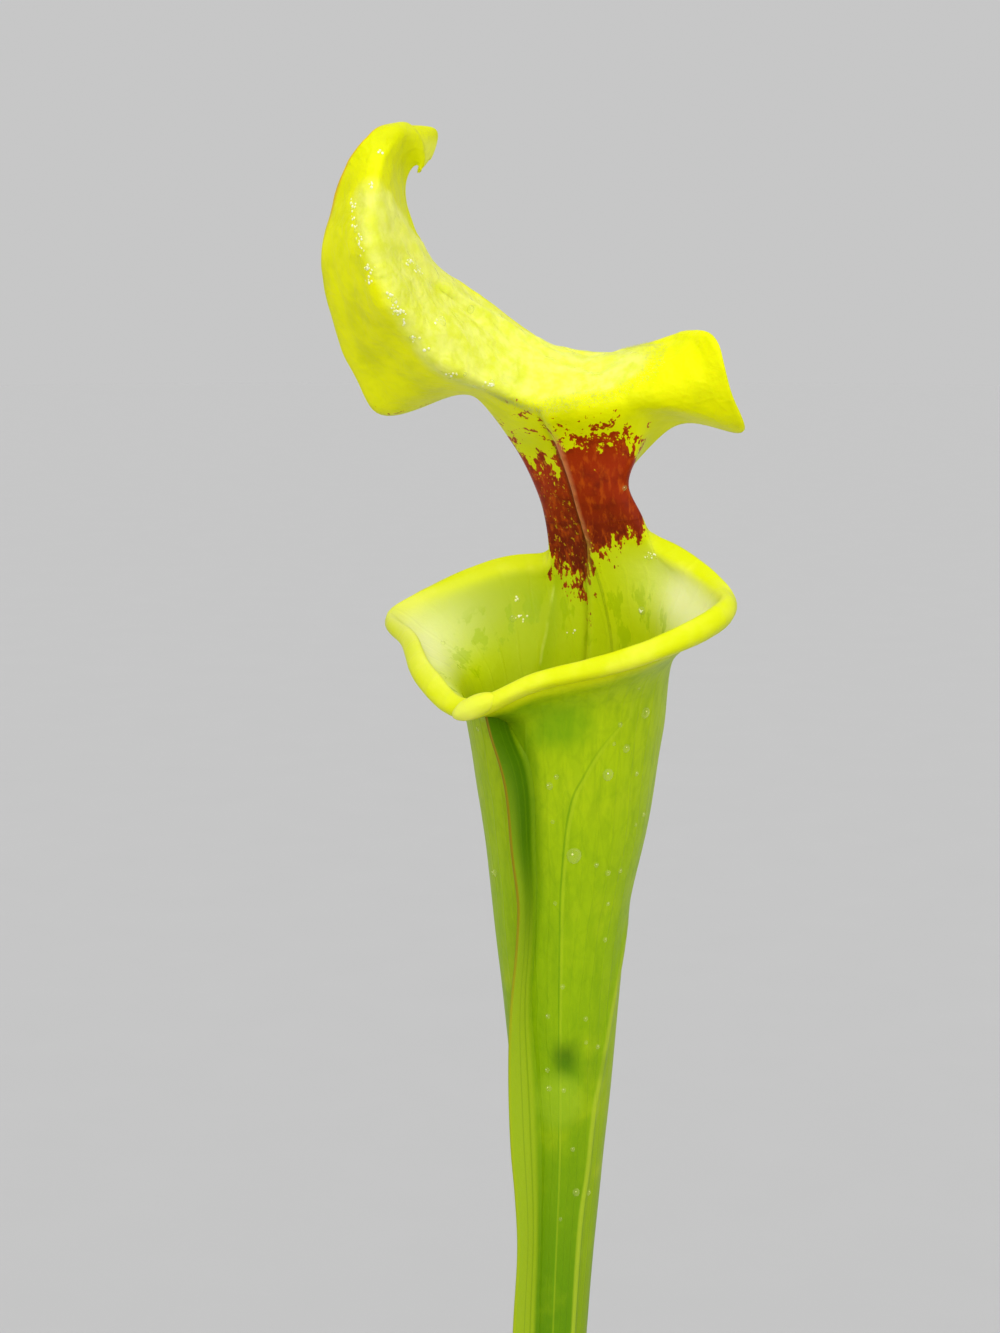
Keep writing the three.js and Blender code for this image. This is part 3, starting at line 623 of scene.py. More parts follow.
def tube_relief(points, marks):
    """The tube's ridge, vein, bulge, grain and flank stand out, and its dent lies in."""
    place, height = marks["place"], points[:, 2]
    ridge = 0.5 * hump(place, listed(height, RIGHT_RIDGE), 5) * ramp(height, 396, 384)
    vein = 0.18 * hump(place, listed(height, CURVED_VEIN), 2.6) * ramp(height, 440, 430)
    bulge = 0.3 * hump(place, 30, 18) * hump(height, 350.5, 4)
    grain = 0.14 * lumps(points * (1, 1, 0.25), 4, 9)
    flank = 0.5 * hump(place, 105, 28) * ramp(height, 400, 370)
    dent = 0.5 * hump(place, 41 + 6 * lumps(points, 9, 7), 12) * hump(height, 359, 3.2)
    return (marks["row"] < 0) * (marks["roll"] < 0.01) * (ridge + vein + bulge + grain + flank - dent)


def rim_relief(points, marks):
    """Uneven roll of the rim, fuller at the front and slimmer on the right."""
    place, roll = marks["place"], marks["roll"]
    fuller = 0.4 * hump(place, 24, 20) - 0.25 * hump(place, 95, 20)
    uneven = 0.14 * lumps(points, 5, 11)
    return (1 - marks["column"]) * (ramp(roll, 0.2, 1) * uneven + ramp(roll, 0.5, 1.2) * fuller)


def column_relief(marks):
    """How far one side of the column's crease, and the strap below it, stand out on the inner side."""
    row, crease, strap = marks["row"], marks["crease"], marks["strap"]
    fold = 1.15 * ramp(crease, -0.08, 0.12) * falling(crease, 0.12, 1.1)
    step = 0.4 * ramp(strap, -2, 2) * falling(strap, 2, 9)
    return fold * ramp(row, -6, -3) * ramp(row, 6.3, 5.2) + step * ramp(row, -5, -2) * (row < 0)


def lid_relief(points, marks):
    """The lid's puckers, rays and tip, and the other way its rib, its crest's edge and its left margin."""
    row, across = marks["row"], marks["across"]
    lid = ramp(row, 5.5, 7.5) * ramp(row, 19, 17)
    puckers = (0.55 * lumps(points, 6.5, 3) + 0.42 * lumps(points, 3, 5)) * (0.35 + 0.65 * marks["pale"])
    rays = 0.1 * np.cos(FULL_TURN * (across * 1.3 + 0.5 * lumps(points, 12, 4))) * ramp(row, 13, 10.5)
    rib = 0.14 * hump(across, 5, 0.3) * ramp(row, 14, 12)
    tip = 0.8 * ramp(row - listed(across, TIP_MARGIN), -0.03, 0.12)
    above = row - fold_row(across)
    crest = 0.32 * ramp(above, -0.12, 0.12) * falling(above, 0, 0.9)
    crest *= ramp(across, 2.6, 3.4) * ramp(across, 9.8, 9) * ramp(row, 5.5, 5.8)
    margin = 0.4 * hump(across, 3.05, 0.3) * ramp(row, 5.8, 7) * ramp(row, 17, 15)
    return lid * (puckers + rays - rib) + tip - crest - margin


def two_faced(points, faces, marks, walls):
    """Closed body of a sheet with rounded edges; its inner face is marked 1."""
    normals = normals_of(points, faces)
    half = normals * walls[:, None] / 2
    count = len(points)
    rim = open_edges(faces)
    outs = {}
    for a, b in rim:
        out = np.cross(points[b] - points[a], normals[a])
        for i in (a, b):
            outs.setdefault(i, []).append(out / np.linalg.norm(out))
    rows = []
    middle = {}
    for i, around in outs.items():
        out = np.sum(around, axis=0)
        middle[i] = 2 * count + len(rows)
        rows.append(points[i] + out / np.linalg.norm(out) * walls[i] * 0.4)
    strip = []
    for a, b in rim:
        strip += [(b, a, middle[a], middle[b]), (middle[b], middle[a], count + a, count + b)]
    body = np.vstack([points + half, points - half, np.array(rows)])
    sources = np.concatenate([np.arange(count), np.arange(count), np.array(list(middle), int)])
    body_marks = {name: values[sources] for name, values in marks.items()}
    body_marks["inner"] = np.concatenate([np.zeros(count), np.ones(count), np.full(len(rows), 0.5)])
    return body, faces.tolist() + (faces[:, ::-1] + count).tolist() + strip, body_marks


def red_field(points, marks):
    """Millimetres inside the red patch, and less than 0 outside it."""
    across, height = marks["across"], points[:, 2]
    inside = np.minimum(listed(across, RED_TOP) - height, height - listed(across, RED_BOTTOM))
    for middle, level, half_width, half_height, depth in RED_SPECKS:
        away = np.hypot((across - middle) / half_width, (height - level) / half_height)
        inside = np.maximum(inside, depth - 5 * np.maximum(0, away - 0.6))
    return np.where(marks["column"] > 0.5, np.clip(inside, -20, 20), -20)


def pale_zone(marks):
    """1 on the lid's crest, which faces up, and 0 on its lobes, its tip and the column."""
    row, across = marks["row"], marks["across"]
    beyond = (row - listed(across, PALE_END)) / (1.2 - 1.05 * ramp(across, 3.0, 4.2))
    return (ramp(across - listed(row, PALE_START), -0.15, 0.35) * ramp(row - fold_row(across), 0.05, 0.45)
            * ramp(beyond, 0, -1) * ramp(across, 10, 9.3))


def painted_sheen_zone(marks):
    """1 on the whitish painted sheen of the flared mouth at its two corners, where they face the lamps."""
    row, place, roll = marks["row"], marks["place"], marks["roll"]
    left = np.maximum(hump(place, -75, 26), 0.5 * hump(place, -38, 22)) * ramp(roll, 2.0, 0.9)
    right = 1.25 * hump(place, 119, 26) * ramp(roll, 1.4, 0.5)
    return ramp(row, -2.0, -0.5) * (row < 0.5) * np.clip(np.maximum(left, right), 0, 1)


def make_pitcher(material):
    points, faces, marks = rounded(pitcher_sheet())
    row = marks["row"]
    marks["place"] = np.degrees(np.arctan2(marks["side_sin"], marks["side_cos"]))
    marks["crease"] = np.where(marks["column"] > 0.5, marks["across"] - listed(row, CREASE), -9)
    marks["strap"] = np.where(row < 0.01, marks["place"] - listed(row, STRAP), 90)
    marks["pale"] = pale_zone(marks)
    relief = tube_relief(points, marks) + rim_relief(points, marks) + lid_relief(points, marks)
    points = points + normals_of(points, faces) * (relief - column_relief(marks))[:, None]
    points, faces, marks = two_faced(points, faces, marks, np.where(row > TIP_ROW, TIP_WALL, WALL))
    marks["red"] = red_field(points, marks)
    marks["tip"] = marks["row"] - listed(marks["across"], TIP_MARGIN)
    # whitish painted sheen at the mouth's corners
    marks["flare"] = painted_sheen_zone(marks)
    return new_piece("pitcher_leaf", points, faces, material, marks)


def make_spout(material):
    """Rounded end of the rim's roll, which overlaps the left side of the mouth at the spout."""
    ball, faces = icosphere(4)
    way = np.array(SPOUT_WAY) / np.linalg.norm(SPOUT_WAY)
    lengthwise = ball @ way
    points = ball * SPOUT_RADIUS + np.outer(lengthwise, way) * (SPOUT_HALF_LENGTH - SPOUT_RADIUS)
    points += np.array(SPOUT_MIDDLE) + ball * 0.12 * lumps(ball * 3, 1.5, 6)[:, None]
    # the flare mark paints whitish sheen on its lower end
    marks = {"roll": [2] * len(ball), "flare": np.clip(0.5 - 0.45 * lengthwise, 0, 1)}
    return new_piece("pitcher_spout", points, faces, material, marks)


def tube_at(height):
    """Centre and radius of the tube at a height."""
    heights = [ring[0] for ring in TUBE]
    x, y, radius = along(heights, [ring[1:] for ring in TUBE], min(height, heights[-1]))
    return np.array([x, y, height]), radius


def grid(rows, columns):
    """Faces between rows of points."""
    corners = np.array([0, columns, columns + 1, 1])
    return [tuple(corners + k * columns + i) for k in range(rows - 1) for i in range(columns - 1)]


def flare_underside():
    """Underside of the flare at its front, as [distance from the tube's middle, height]."""
    throat, lip = TUBE[-1], RIM[RIM_PLACES.index(0)]
    lip_radius = hypot(lip[0] - throat[1], lip[1] - throat[2])
    return [[mixed(throat[3], lip_radius, out), mixed(throat[0], lip[2], up)] for out, up in [[0, 0]] + FLARE]


def make_wing(material):
    """Thin keel down the front, flared where it grows out of the tube."""
    heights = [row[0] for row in WING][::-1]
    spans = [row[1:] for row in WING][::-1]
    underside = flare_underside()
    points, edge, place = [], [], []
    for k in range(WING_ROWS + 1):
        height = mixed(heights[0], heights[-1], k / WING_ROWS)
        root_place, edge_place, width = along(heights, spans, height)
        centre, radius = tube_at(height)
        root = centre + direction(root_place) * (radius + WALL / 2)
        flat = min(1, width / 4)
        shape = [(out * flat, half) for out, half in WING_SECTION]
        shape += [(width - 0.5, 0.36), (width - 0.12, 0.26), (width, 0)]
        squeezed = max(0, height - WING_SQUEEZE) / (heights[-1] - WING_SQUEEZE)
        for out, half in shape + [(out, -half) for out, half in shape[-2::-1]]:
            spot = root + direction(edge_place) * out + direction(edge_place + 90) * half
            roof = listed(hypot(*(spot - centre)[:2]), underside)
            spot[2] += squeezed * (roof - heights[-1])
            points.append(spot)
            edge.append(np.clip(out / width, 0, 1))
            place.append(root_place)
    count = len(points)
    faces = [face[::-1] for face in grid(WING_ROWS + 1, count // (WING_ROWS + 1))]
    marks = {"wing": edge, "keel": [1] * count, "place": place, "row": [-5] * count, "red": [-20] * count}
    return new_piece("pitcher_wing", points, faces, material, marks)


def tube_color(n, height, place, clouds, strands):
    """Tube from its reddish foot to its yellow rim, with its veins, ridge and patches, painted shade along
    the wing's root, under the rim and at the dent, and a painted highlight on the bulge.
    """
    net = n.cells(3, (1, 1, 0.35)).fade(0.1, 0)
    vein = place - height.curve(CURVED_VEIN)
    ridge = place - height.curve(RIGHT_RIDGE)
    wing_root_offset = place - height.curve(WING_ROOT)
    low = height.fade(398, 370) * 0.75
    ragged = (n.noise(6, 4) - 0.5) * 26
    shaky = place + ragged * 0.5
    bulge = ((shaky - 30) * (1 / 38)) ** 2 + ((height - 350.5) * (1 / 8)) ** 2
    return n.coats(
        (134, 96, 40),
        (height.fade(100, 190), (96, 141, 6)),
        (height.fade(285, 400), (156, 188, 8)),
        (height.fade(385, 440), (178, 204, 8)),
        (n.noise(1.6, 3, (1, 1, 0.06)).fade(0.4, 0.8) * 0.28, (104, 146, 2)),
        (clouds.fade(0.5, 0.8) * 0.4, (196, 212, 24)),
        (strands.fade(1.0, 0.1) * 0.06, (92, 140, 2)),
        (n.noise(2.6, 4, (1, 1, 0.4), 0.65).fade(0.46, 0.6) * 0.16, (108, 152, 4)),
        (net * 0.1, (98, 144, 2)),
        # curved vein with its pale side, pale zone beyond the ridge, and the ridge
        (vein.near(0, 1.2, 0.2) * height.fade(440, 415) * 0.55, (98, 146, 4)),
        (vein.near(1.8, 1.9, 0.5) * 0.25, (190, 210, 40)),
        (ridge.fade(2, 6) * ridge.fade(60, 30) * low * 0.55, (172, 192, 30)),
        (ridge.near(0, 4.2, 1.2) * low, (176, 196, 44)),
        # painted shade along the wing's root, under the rim, in the dent and round it, and a painted
        # highlight on the bulge
        (wing_root_offset.near(0, 12, 2) * height.fade(345, 415) * 0.62, (78, 124, 2)),
        ((place + ragged).near(30, 26, 6) * height.near(434.5, 8, 2) * 0.6, (104, 158, 4)),
        (shaky.near(39, 21, 2) * height.near(360, 6, 0.5) * 0.8, (66, 108, 4)),
        (shaky.near(60, 44, 20) * height.near(357.5, 4.5, 1) * 0.35, (92, 138, 4)),
        (bulge.fade(1, 0.1) * 0.38, (174, 202, 44)))


def wing_color(n, height):
    """Keel down the front: painted shade near the top under the mouth, less towards its free edge, pale lower
    down, with fine lines and a reddish margin.
    """
    wing = n.attribute("wing")
    lines = n.math("MAXIMUM", wing.near(0.3, 0.045, 0.01), wing.near(0.56, 0.035, 0.005))
    return n.coats(
        (164, 190, 30),
        # painted shade under the mouth, lifted towards the free edge
        (height.fade(372, 412), (78, 121, 0)),
        (height.fade(300, 150), (128, 160, 20)),
        (wing.fade(0.45, 0.95) * height.fade(440, 400) * 0.6, (160, 188, 24)),
        (lines * 0.4, (104, 142, 10)),
        (wing.fade(0.95, 0.985) * (height.fade(350, 400) + 0.3) * 0.6, (146, 116, 14)))


def wet_patches(n, row):
    """1 on the wet patches inside the mouth."""
    patches = n.noise(5, 4, (1, 1, 0.4), 0.6).fade(0.54, 0.59) * row.fade(-0.2, -1.0)
    return patches * n.attribute("flare").fade(0.8, 0.2)


def throat_color(n, height, row, place, clouds, patches):
    """Inside of the mouth: yellow-green, with wet green patches, whitish painted sheen at its corners,
    painted shade on the back-left wall and beside the strap, and painted light on the right and along the
    strap's edge.
    """
    upper = row.fade(-3, -0.8)
    strap = n.attribute("strap") + (n.noise(9, 2) - 0.5) * 5
    edge = strap.near(0, 1.5, 0.4) * row.fade(-0.1, -0.5) * n.noise(5, 3).fade(0.35, 0.65)
    return n.coats(
        (132, 164, 4),
        (height.fade(400, 445), (196, 212, 8)),
        (clouds.fade(0.4, 0.75) * 0.3, (206, 220, 60)),
        # painted shade on the back-left wall and painted light on the right
        (place.near(-122, 42, 12) * upper * 0.6, (164, 184, 2)),
        (place.near(160, 50, 20) * upper * 0.6, (218, 230, 8)),
        # whitish painted sheen at the corners
        (n.attribute("flare") * 0.88, (250, 252, 184)),
        (patches * 0.42, (156, 186, 2)),
        # painted shade beside the strap's step and a painted highlight along its edge
        (strap.fade(-14, -1) * strap.fade(1, -1) * 0.3, (140, 172, 2)),
        (edge * 0.5, (220, 230, 90)))


def rim_color(n):
    """Rolled rim, with whitish painted sheen at the mouth's corners and the spout."""
    return n.coats(
        (226, 234, 10),
        (n.noise(9, 3).fade(0.4, 0.7), (236, 240, 60)),
        # whitish painted sheen at the corners and the spout
        (n.attribute("flare") * 0.6, (228, 232, 116)))


def lid_color(n, row, clouds):
    """Column and lid from the front, deeper yellow in clouds, with painted shade darkening the tip."""
    return n.coats(
        (212, 220, 4),
        (row.fade(2, 6), (246, 249, 0)),
        # painted shade darkening the tip
        (row.fade(13.5, 16.5), (224, 230, 0)),
        (clouds.fade(0.4, 0.8) * 0.5, (220, 222, 0)),
        (n.noise(7, 4, (1, 1, 1), 0.6).fade(0.45, 0.68) * 0.35, (214, 220, 0)))


def crest_sheen_color(n, row):
    """Upper side of the lid's crest, painted paler as sheen where it faces up to the lamps."""
    return n.coats(
        (228, 235, 62),
        (n.noise(3, 4).fade(0.3, 0.7), (240, 244, 112)),
        (row.fade(12, 14) * 0.25, (248, 250, 120)))


def red_patch(n, height, across):
    """Share and colour of the red patch: solid in the middle, broken into streaks and specks at its edges."""
    broad = (n.noise(1.9, 3, (1, 1, 0.38), 0.65) - 0.5) * (height.fade(472, 484) * 16 + 20)
    fine = (n.noise(0.75, 2, (1, 1, 0.6)) - 0.5) * 9
    ragged = n.attribute("red") + broad + fine
    gaps = n.noise(0.9, 3, (1, 1, 0.7), 0.6).fade(0.6, 0.66) * across.fade(5.0, 4.5)
    return ragged.fade(-0.35, 0.35), n.coats(
        (112, 32, 14),
        (height.fade(462, 484), (166, 48, 8)),
        (n.noise(1.1, 4, (1, 1, 0.2)).fade(0.48, 0.7) * 0.7, (200, 84, 14)),
        (n.noise(3.2, 4).fade(0.45, 0.7) * 0.6, (112, 28, 10)),
        (ragged.fade(3.2, 0.2) * 0.5, (196, 82, 10)),
        (gaps * 0.75, (206, 168, 14)))


def crease_coats(n, height, row):
    """Crease down the column: painted shade on one side and a painted highlight on its thin raised edge, each
    as a share and a colour.
    """
    crease = n.attribute("crease")
    run = row.fade(-5, -3) * row.fade(6.2, 5.6)
    redness = n.attribute("red").fade(-3, 1) * height.fade(462, 470)
    shade = crease.fade(-0.4, -0.08) * crease.fade(0.02, -0.06) * run
    edge = crease.fade(-0.04, 0.02) * crease.fade(0.3, 0.1) * run
    broken = n.noise(2.2, 3).fade(0.35, 0.6) * 0.45 + 0.55
    return [(shade * (redness * 0.25 + 0.2), (48, 39, 0)),
            (edge * broken * (redness * 0.5 + 0.2), n.mix(redness, (224, 232, 60), (236, 150, 96)))]


def tip_coats(n, height):
    """Painted light as a pale band on the flap behind the front margin of the lid's tip, and a painted shadow
    line along that margin, each as a share and a colour.
    """
    tip = n.attribute("tip")
    return [(tip.fade(-0.02, 0.04) * height.fade(552, 549) * 0.7, (242, 245, 84)),
            (tip.fade(-0.04, 0.02) * tip.fade(0.3, 0.04) * 0.5, (150, 158, 0))]


def pitcher_material():
    n = Nodes("pitcher")
    height, clouds = n.height(), n.noise(14, 3)
    place, row, inner, across, pale = map(n.attribute, ("place", "row", "inner", "across", "pale"))
    strands = n.math("PINGPONG", place + (n.noise(30, 2) - 0.5) * 14, 5.5)
    patches = wet_patches(n, row)
    rolled, rim = n.attribute("roll").fade(0, 0.9), rim_color(n)
    inside = n.coats(
        throat_color(n, height, row, place, clouds, patches),
        (row.fade(-0.4, 1.2), lid_color(n, row, clouds)),
        # paler crest: painted sheen where it faces up to the lamps
        (pale, crest_sheen_color(n, row)),
        (rolled * 0.85, rim),
        red_patch(n, height, across),
        *crease_coats(n, height, row),
        *tip_coats(n, height))
    # soft net of veins on the lid, which shows in relief too
    lid = row.fade(3.5, 6.5)
    net = n.cells(4).fade(0.16, 0) * lid * n.noise(9, 2).fade(0.35, 0.65)
    color = n.coats(
        tube_color(n, height, place, clouds, strands),
        (n.attribute("keel") * n.attribute("wing").fade(0.02, 0.2), wing_color(n, height)),
        (row.fade(-0.9, 0.6), n.mix(clouds.fade(0.3, 0.75), (236, 238, 0), (214, 224, 0))),
        (rolled, rim),
        (inner, inside),
        (across.fade(0.28, 0.04) * row.fade(12, 14) * row.fade(18, 17) * 0.5, (226, 130, 30)),
        (net * 0.06, (216, 222, 10)))
    relief = net * 0.2 + n.noise(1.6, 4) * (lid * 0.5 + 0.35) + strands.fade(1.2, 0.1) * 0.12
    wet = n.math("MAXIMUM", patches, pale * n.noise(4, 3).fade(0.56, 0.62)) * inner
    return n.finish(color, wet * -0.26 + 0.4, relief, 0.35, Subsurface_Weight=0.3, Subsurface_Scale=1.0 * MM,
                    Subsurface_Radius=[1.0, 0.85, 0.1], IOR=1.4, Specular_IOR_Level=0.12)


# Pot, soil and rhizome


def icosphere(level):
    """Points and triangles of a unit ball."""
    ball = bmesh.new()
    bmesh.ops.create_icosphere(ball, subdivisions=level, radius=1)
    points = np.array([v.co[:] for v in ball.verts])
    faces = np.array([[v.index for v in f.verts] for f in ball.faces])
    ball.free()
    return points, faces


def lathe(outline, sides):
    """Points and faces of a closed turned body, from its [radius, height] outline from axis to axis."""
    turns = [FULL_TURN * i / sides for i in range(sides)]
    points = [(0, 0, outline[0][1])]
    for radius, height in outline[1:-1]:
        points += [(radius * cos(turn), radius * sin(turn), height) for turn in turns]
    points.append((0, 0, outline[-1][1]))
    faces = []
    last = len(points) - 1
    for i in range(sides):
        j = (i + 1) % sides
        faces += [(0, 1 + j, 1 + i), (last, last - sides + i, last - sides + j)]
        for low in range(1, last - sides, sides):
            faces.append((low + i, low + j, low + sides + j, low + sides + i))
    return points, faces


def eased(outline, radii):
    """Outline with its corners rounded by the radii, one for each point between the ends."""
    result = [outline[0]]
    for k, radius in enumerate(radii, 1):
        before, corner, after = (np.array(outline[i], float) for i in (k - 1, k, k + 1))
        back = (before - corner) / np.linalg.norm(before - corner) * radius
        front = (after - corner) / np.linalg.norm(after - corner) * radius
        for step in range(EASE_STEPS + 1):
            t = step / EASE_STEPS
            result.append(corner + (1 - t) ** 2 * back + t * t * front)
    return result + [outline[-1]]


def stretched(outline, longest):
    """Outline with points added so that no stretch between the ends is longer than this."""
    result = [outline[0]]
    for a, b in zip(outline[1:], outline[2:]):
        steps = max(1, ceil(dist(a, b) / longest))
        result += [mixed(np.array(a, float), np.array(b, float), k / steps) for k in range(steps)]
    return result + [outline[-1]]


def pot_inside(height):
    return POT_FOOT - POT_WALL + (POT_TOP - POT_STEP - POT_FOOT) / POT_BAND * height


def make_drill(number):
    """Rod through the pot's floor where a drain hole goes."""
    turn = (number + 0.5) * FULL_TURN / DRAIN_COUNT
    low, high = -DRAIN_OVER, POT_FLOOR + DRAIN_OVER
    points, faces = lathe([[0, low], [DRAIN_RADIUS, low], [DRAIN_RADIUS, high], [0, high]], DRAIN_SIDES)
    centre = np.array([cos(turn), sin(turn), 0]) * DRAIN_CIRCLE
    return new_piece("drill", np.array(points) + centre, faces, None)


def make_pot(material):
    mouth = pot_inside(POT_BAND)
    outline = [[0, 0], [POT_FOOT, 0], [POT_TOP - POT_STEP, POT_BAND], [POT_TOP, POT_BAND + 0.8],
               [POT_TOP, POT_HEIGHT], [mouth, POT_HEIGHT], [mouth, POT_BAND],
               [pot_inside(POT_FLOOR), POT_FLOOR], [0, POT_FLOOR]]
    outline = eased(outline, [1.2, 0.6, 0.4, 0.9, 0.9, 1.0, 1.0])
    pot = new_piece("pot_body", *lathe(stretched(outline, 8), POT_SIDES), material)
    drills = [make_drill(number) for number in range(DRAIN_COUNT)]
    for drill in drills:
        cut = pot.modifiers.new("drain", "BOOLEAN")
        cut.object = drill
        cut.solver = "EXACT"
    mesh = bpy.data.meshes.new_from_object(pot.evaluated_get(bpy.context.evaluated_depsgraph_get()))
    pot.modifiers.clear()
    pot.data = mesh
    for drill in drills:
        bpy.data.objects.remove(drill)
    mesh.set_sharp_from_angle(angle=radians(35))
    return pot


def soil_height(x, y):
    """Height of the soil's surface, with the same bumps as the frame's solid and finer ones."""
    bumps = SOIL_ROUGHNESS * (0.5 * sin(0.31 * x + 1.3) * cos(0.27 * y - 0.4)
                              + 0.3 * sin(0.71 * x - 0.53 * y) + 0.2 * cos(1.13 * x + 0.97 * y + 2))
    fine = 0.7 * noise.noise((x / 4, y / 4, 3)) + 0.4 * noise.noise((x / 1.6, y / 1.6, 9))
    far = hypot(x, y) - (SOIL_RADIUS - SOIL_EDGE_DROP)
    drop = SOIL_EDGE_DROP / 2 * min(1, max(0, far / SOIL_EDGE_DROP)) ** 2
    return SOIL_LEVEL + bumps + fine - drop


def make_soil(material):
    floor = POT_FLOOR + SOIL_GAP
    outline = [[0, floor], [pot_inside(floor) - SOIL_GAP, floor], [SOIL_RADIUS, POT_BAND]]
    outline += [[mixed(SOIL_RADIUS, SOCKET, k / SOIL_RINGS), SOIL_LEVEL] for k in range(SOIL_RINGS + 1)]
    outline += [[SOCKET, SOIL_LEVEL - SOCKET_DEPTH], [0, SOIL_LEVEL - SOCKET_DEPTH]]
    points, faces = lathe(outline, SOIL_SIDES)
    points = [(x, y, soil_height(x, y)) if z == SOIL_LEVEL else (x, y, z) for x, y, z in points]
    return new_piece("soil_bed", points, faces, material)


def strewn(count, least, most):
    """Random places on the soil between two radii, as [x, y, height]."""
    for _ in range(count):
        radius = sqrt(random.uniform(least**2, most**2))
        turn = random.uniform(0, FULL_TURN)
        x, y = radius * cos(turn), radius * sin(turn)
        yield x, y, soil_height(x, y)


def make_grains(name, material, grains):
    """Loose grains on the soil: uneven balls, each turned and stretched its own way."""
    level, count, sizes, flat, rough, least = grains
    ball, faces = icosphere(level)
    shapes, tones = [], []
    for x, y, z in strewn(count, least, SOIL_RADIUS - 1.5):
        size = random.uniform(*sizes) ** 2 / sizes[1]
        turn = Matrix.Rotation(random.uniform(0, FULL_TURN), 3, Vector((random.random(), random.random(), 1)))
        scale = np.array([random.uniform(0.7, 1.3), random.uniform(0.7, 1.3), random.uniform(*flat)])
        knobs = np.array([1 + rough * noise.noise(Vector(p) * 1.7 + Vector((x, y, 0))) for p in ball])
        shape = (ball * knobs[:, None] * scale * size / 2) @ np.array(turn).T
        shapes.append((shape + (x, y, z + size * 0.12), faces))
        tones += [random.random()] * len(ball)
    return new_piece(name, *gathered(shapes), material, {"tone": tones})


def cone(root, tip, width):
    """Points and faces of a thin three-sided spike."""
    ahead = Vector(tip) - Vector(root)
    side = ahead.orthogonal().normalized() * width / 2
    points = [Vector(root) + Matrix.Rotation(FULL_TURN * i / 3, 3, ahead) @ side for i in range(3)]
    return points + [Vector(tip)], [(0, 1, 3), (1, 2, 3), (2, 0, 3)]


def gathered(shapes):
    """One mesh's points and faces from many shapes."""
    points, faces = [], []
    for shape_points, shape_faces in shapes:
        start = len(points)
        points += [tuple(p) for p in shape_points]
        faces += [tuple(start + i for i in face) for face in shape_faces]
    return points, faces


def moss_head(x, y):
    """Whorls of short pointed leaves round a low stem."""
    z = soil_height(x, y) - 0.4
    size = random.uniform(0.75, 1.15)
    lean = Vector((random.uniform(-0.5, 0.5), random.uniform(-0.5, 0.5), 0))
    for whorl, (rise, spread, count) in enumerate(MOSS_WHORLS):
        root = Vector((x, y, z + rise * size)) + lean * rise
        for i in range(count):
            turn = (i + 0.5 * whorl + random.uniform(-0.2, 0.2)) * FULL_TURN / count
            out = Vector((cos(turn) * spread, sin(turn) * spread, 0.5 + 0.5 * whorl)) * size
            yield cone(root, root + out, 0.75 * size)


def make_moss(material):
    shapes = []
    for distance, turn, spread in MOSS_PATCHES:
        middle_x, middle_y = (part(radians(turn)) * distance for part in (cos, sin))
        steps = int(spread / MOSS_SPACING)
        for i in range(-steps, steps + 1):
            for j in range(-steps, steps + 1):
                x = middle_x + (i + 0.5 * (j % 2) + random.uniform(-0.3, 0.3)) * MOSS_SPACING
                y = middle_y + (j + random.uniform(-0.3, 0.3)) * MOSS_SPACING
                reached = spread * (0.85 + 0.3 * noise.noise((x / 6, y / 6, 5)))
                inside = hypot(x - middle_x, y - middle_y) < reached
                if inside and SOCKET + 1 < hypot(x, y) < SOIL_RADIUS - 2.5:
                    shapes += moss_head(x, y)
    return new_piece("moss", *gathered(shapes), material)


def make_crown(material):
    """Woody top of the rhizome, ridged where old leaves were."""
    low, high = SOIL_LEVEL - 7, SOIL_LEVEL + CROWN_RISE
    wide = SOCKET - 0.4
    outline = [[0, low], [wide, low], [wide - 0.4, SOIL_LEVEL], [wide * 0.9, SOIL_LEVEL + 3],
               [wide * 0.62, high], [5.2, high + 0.4], [4.4, high - 1.5], [0, high - 1.5]]
    points, faces = lathe(stretched(eased(outline, [0.5, 2, 2, 2, 0.6, 0.3]), 0.6), CROWN_SIDES)
    result = []
    for x, y, z in points:
        radius, turn = hypot(x, y), atan2(y, x)
        ridges = 0.35 * sin(9 * turn + 0.5 * z) + 0.5 * noise.noise((x / 2.5, y / 2.5, z / 5))
        fibres = 0.22 * noise.noise((turn * 14, z / 6, 4))
        grow = 1 + (ridges + fibres - 0.5) / 13 if radius > 5 else 1
        result.append((x * grow, y * grow, z + 0.4 * noise.noise((x / 3, y / 3, 8)) * (radius > 5)))
    return new_piece("rhizome_crown", result, faces, material)


def scale_leaf(turn, size):
    """Papery sheath of an old leaf: a cupped blade with ribs, torn at its tip."""
    long, wide = SCALE_GRID
    c, s = cos(turn), sin(turn)
    points = []
    for side in (1, -1):
        for k in range(long + 1):
            t = k / long
            width = mixed(SCALE_TIP_WIDTH, SCALE_WIDTH * size, 1 - t**1.6) / 2
            depth = mixed(SCALE_THICKNESS, SCALE_TIP_THICKNESS, t) / 2
            out = SCALE_OUT + SCALE_LEAN * size * t * t
            for i in range(wide + 1):
                u = 2 * i / wide - 1
                x = u * width
                wave = 0.12 * sin(26 * u + 3 * turn) + 0.35 * noise.noise((u * 2, t * 5, turn))
                y = SCALE_CUP * x * x + side * depth * (1 - 0.8 * u * u) + wave * (0.4 + t) - out
                torn = 0.9 * noise.noise((u * 4, turn, 2)) * t**4
                z = SOIL_LEVEL - SCALE_SINK + SCALE_LENGTH * size * t * (1 - 0.06 * u * u) + torn
                points.append((x * c - y * s, x * s + y * c, z))
    faces = grid(long + 1, wide + 1)
    count = len(points) // 2
    back = [tuple(count + i for i in face[::-1]) for face in faces]
    edge = [(b, a, count + a, count + b) for a, b in open_edges(np.array(faces))]
    return points, faces + back + edge


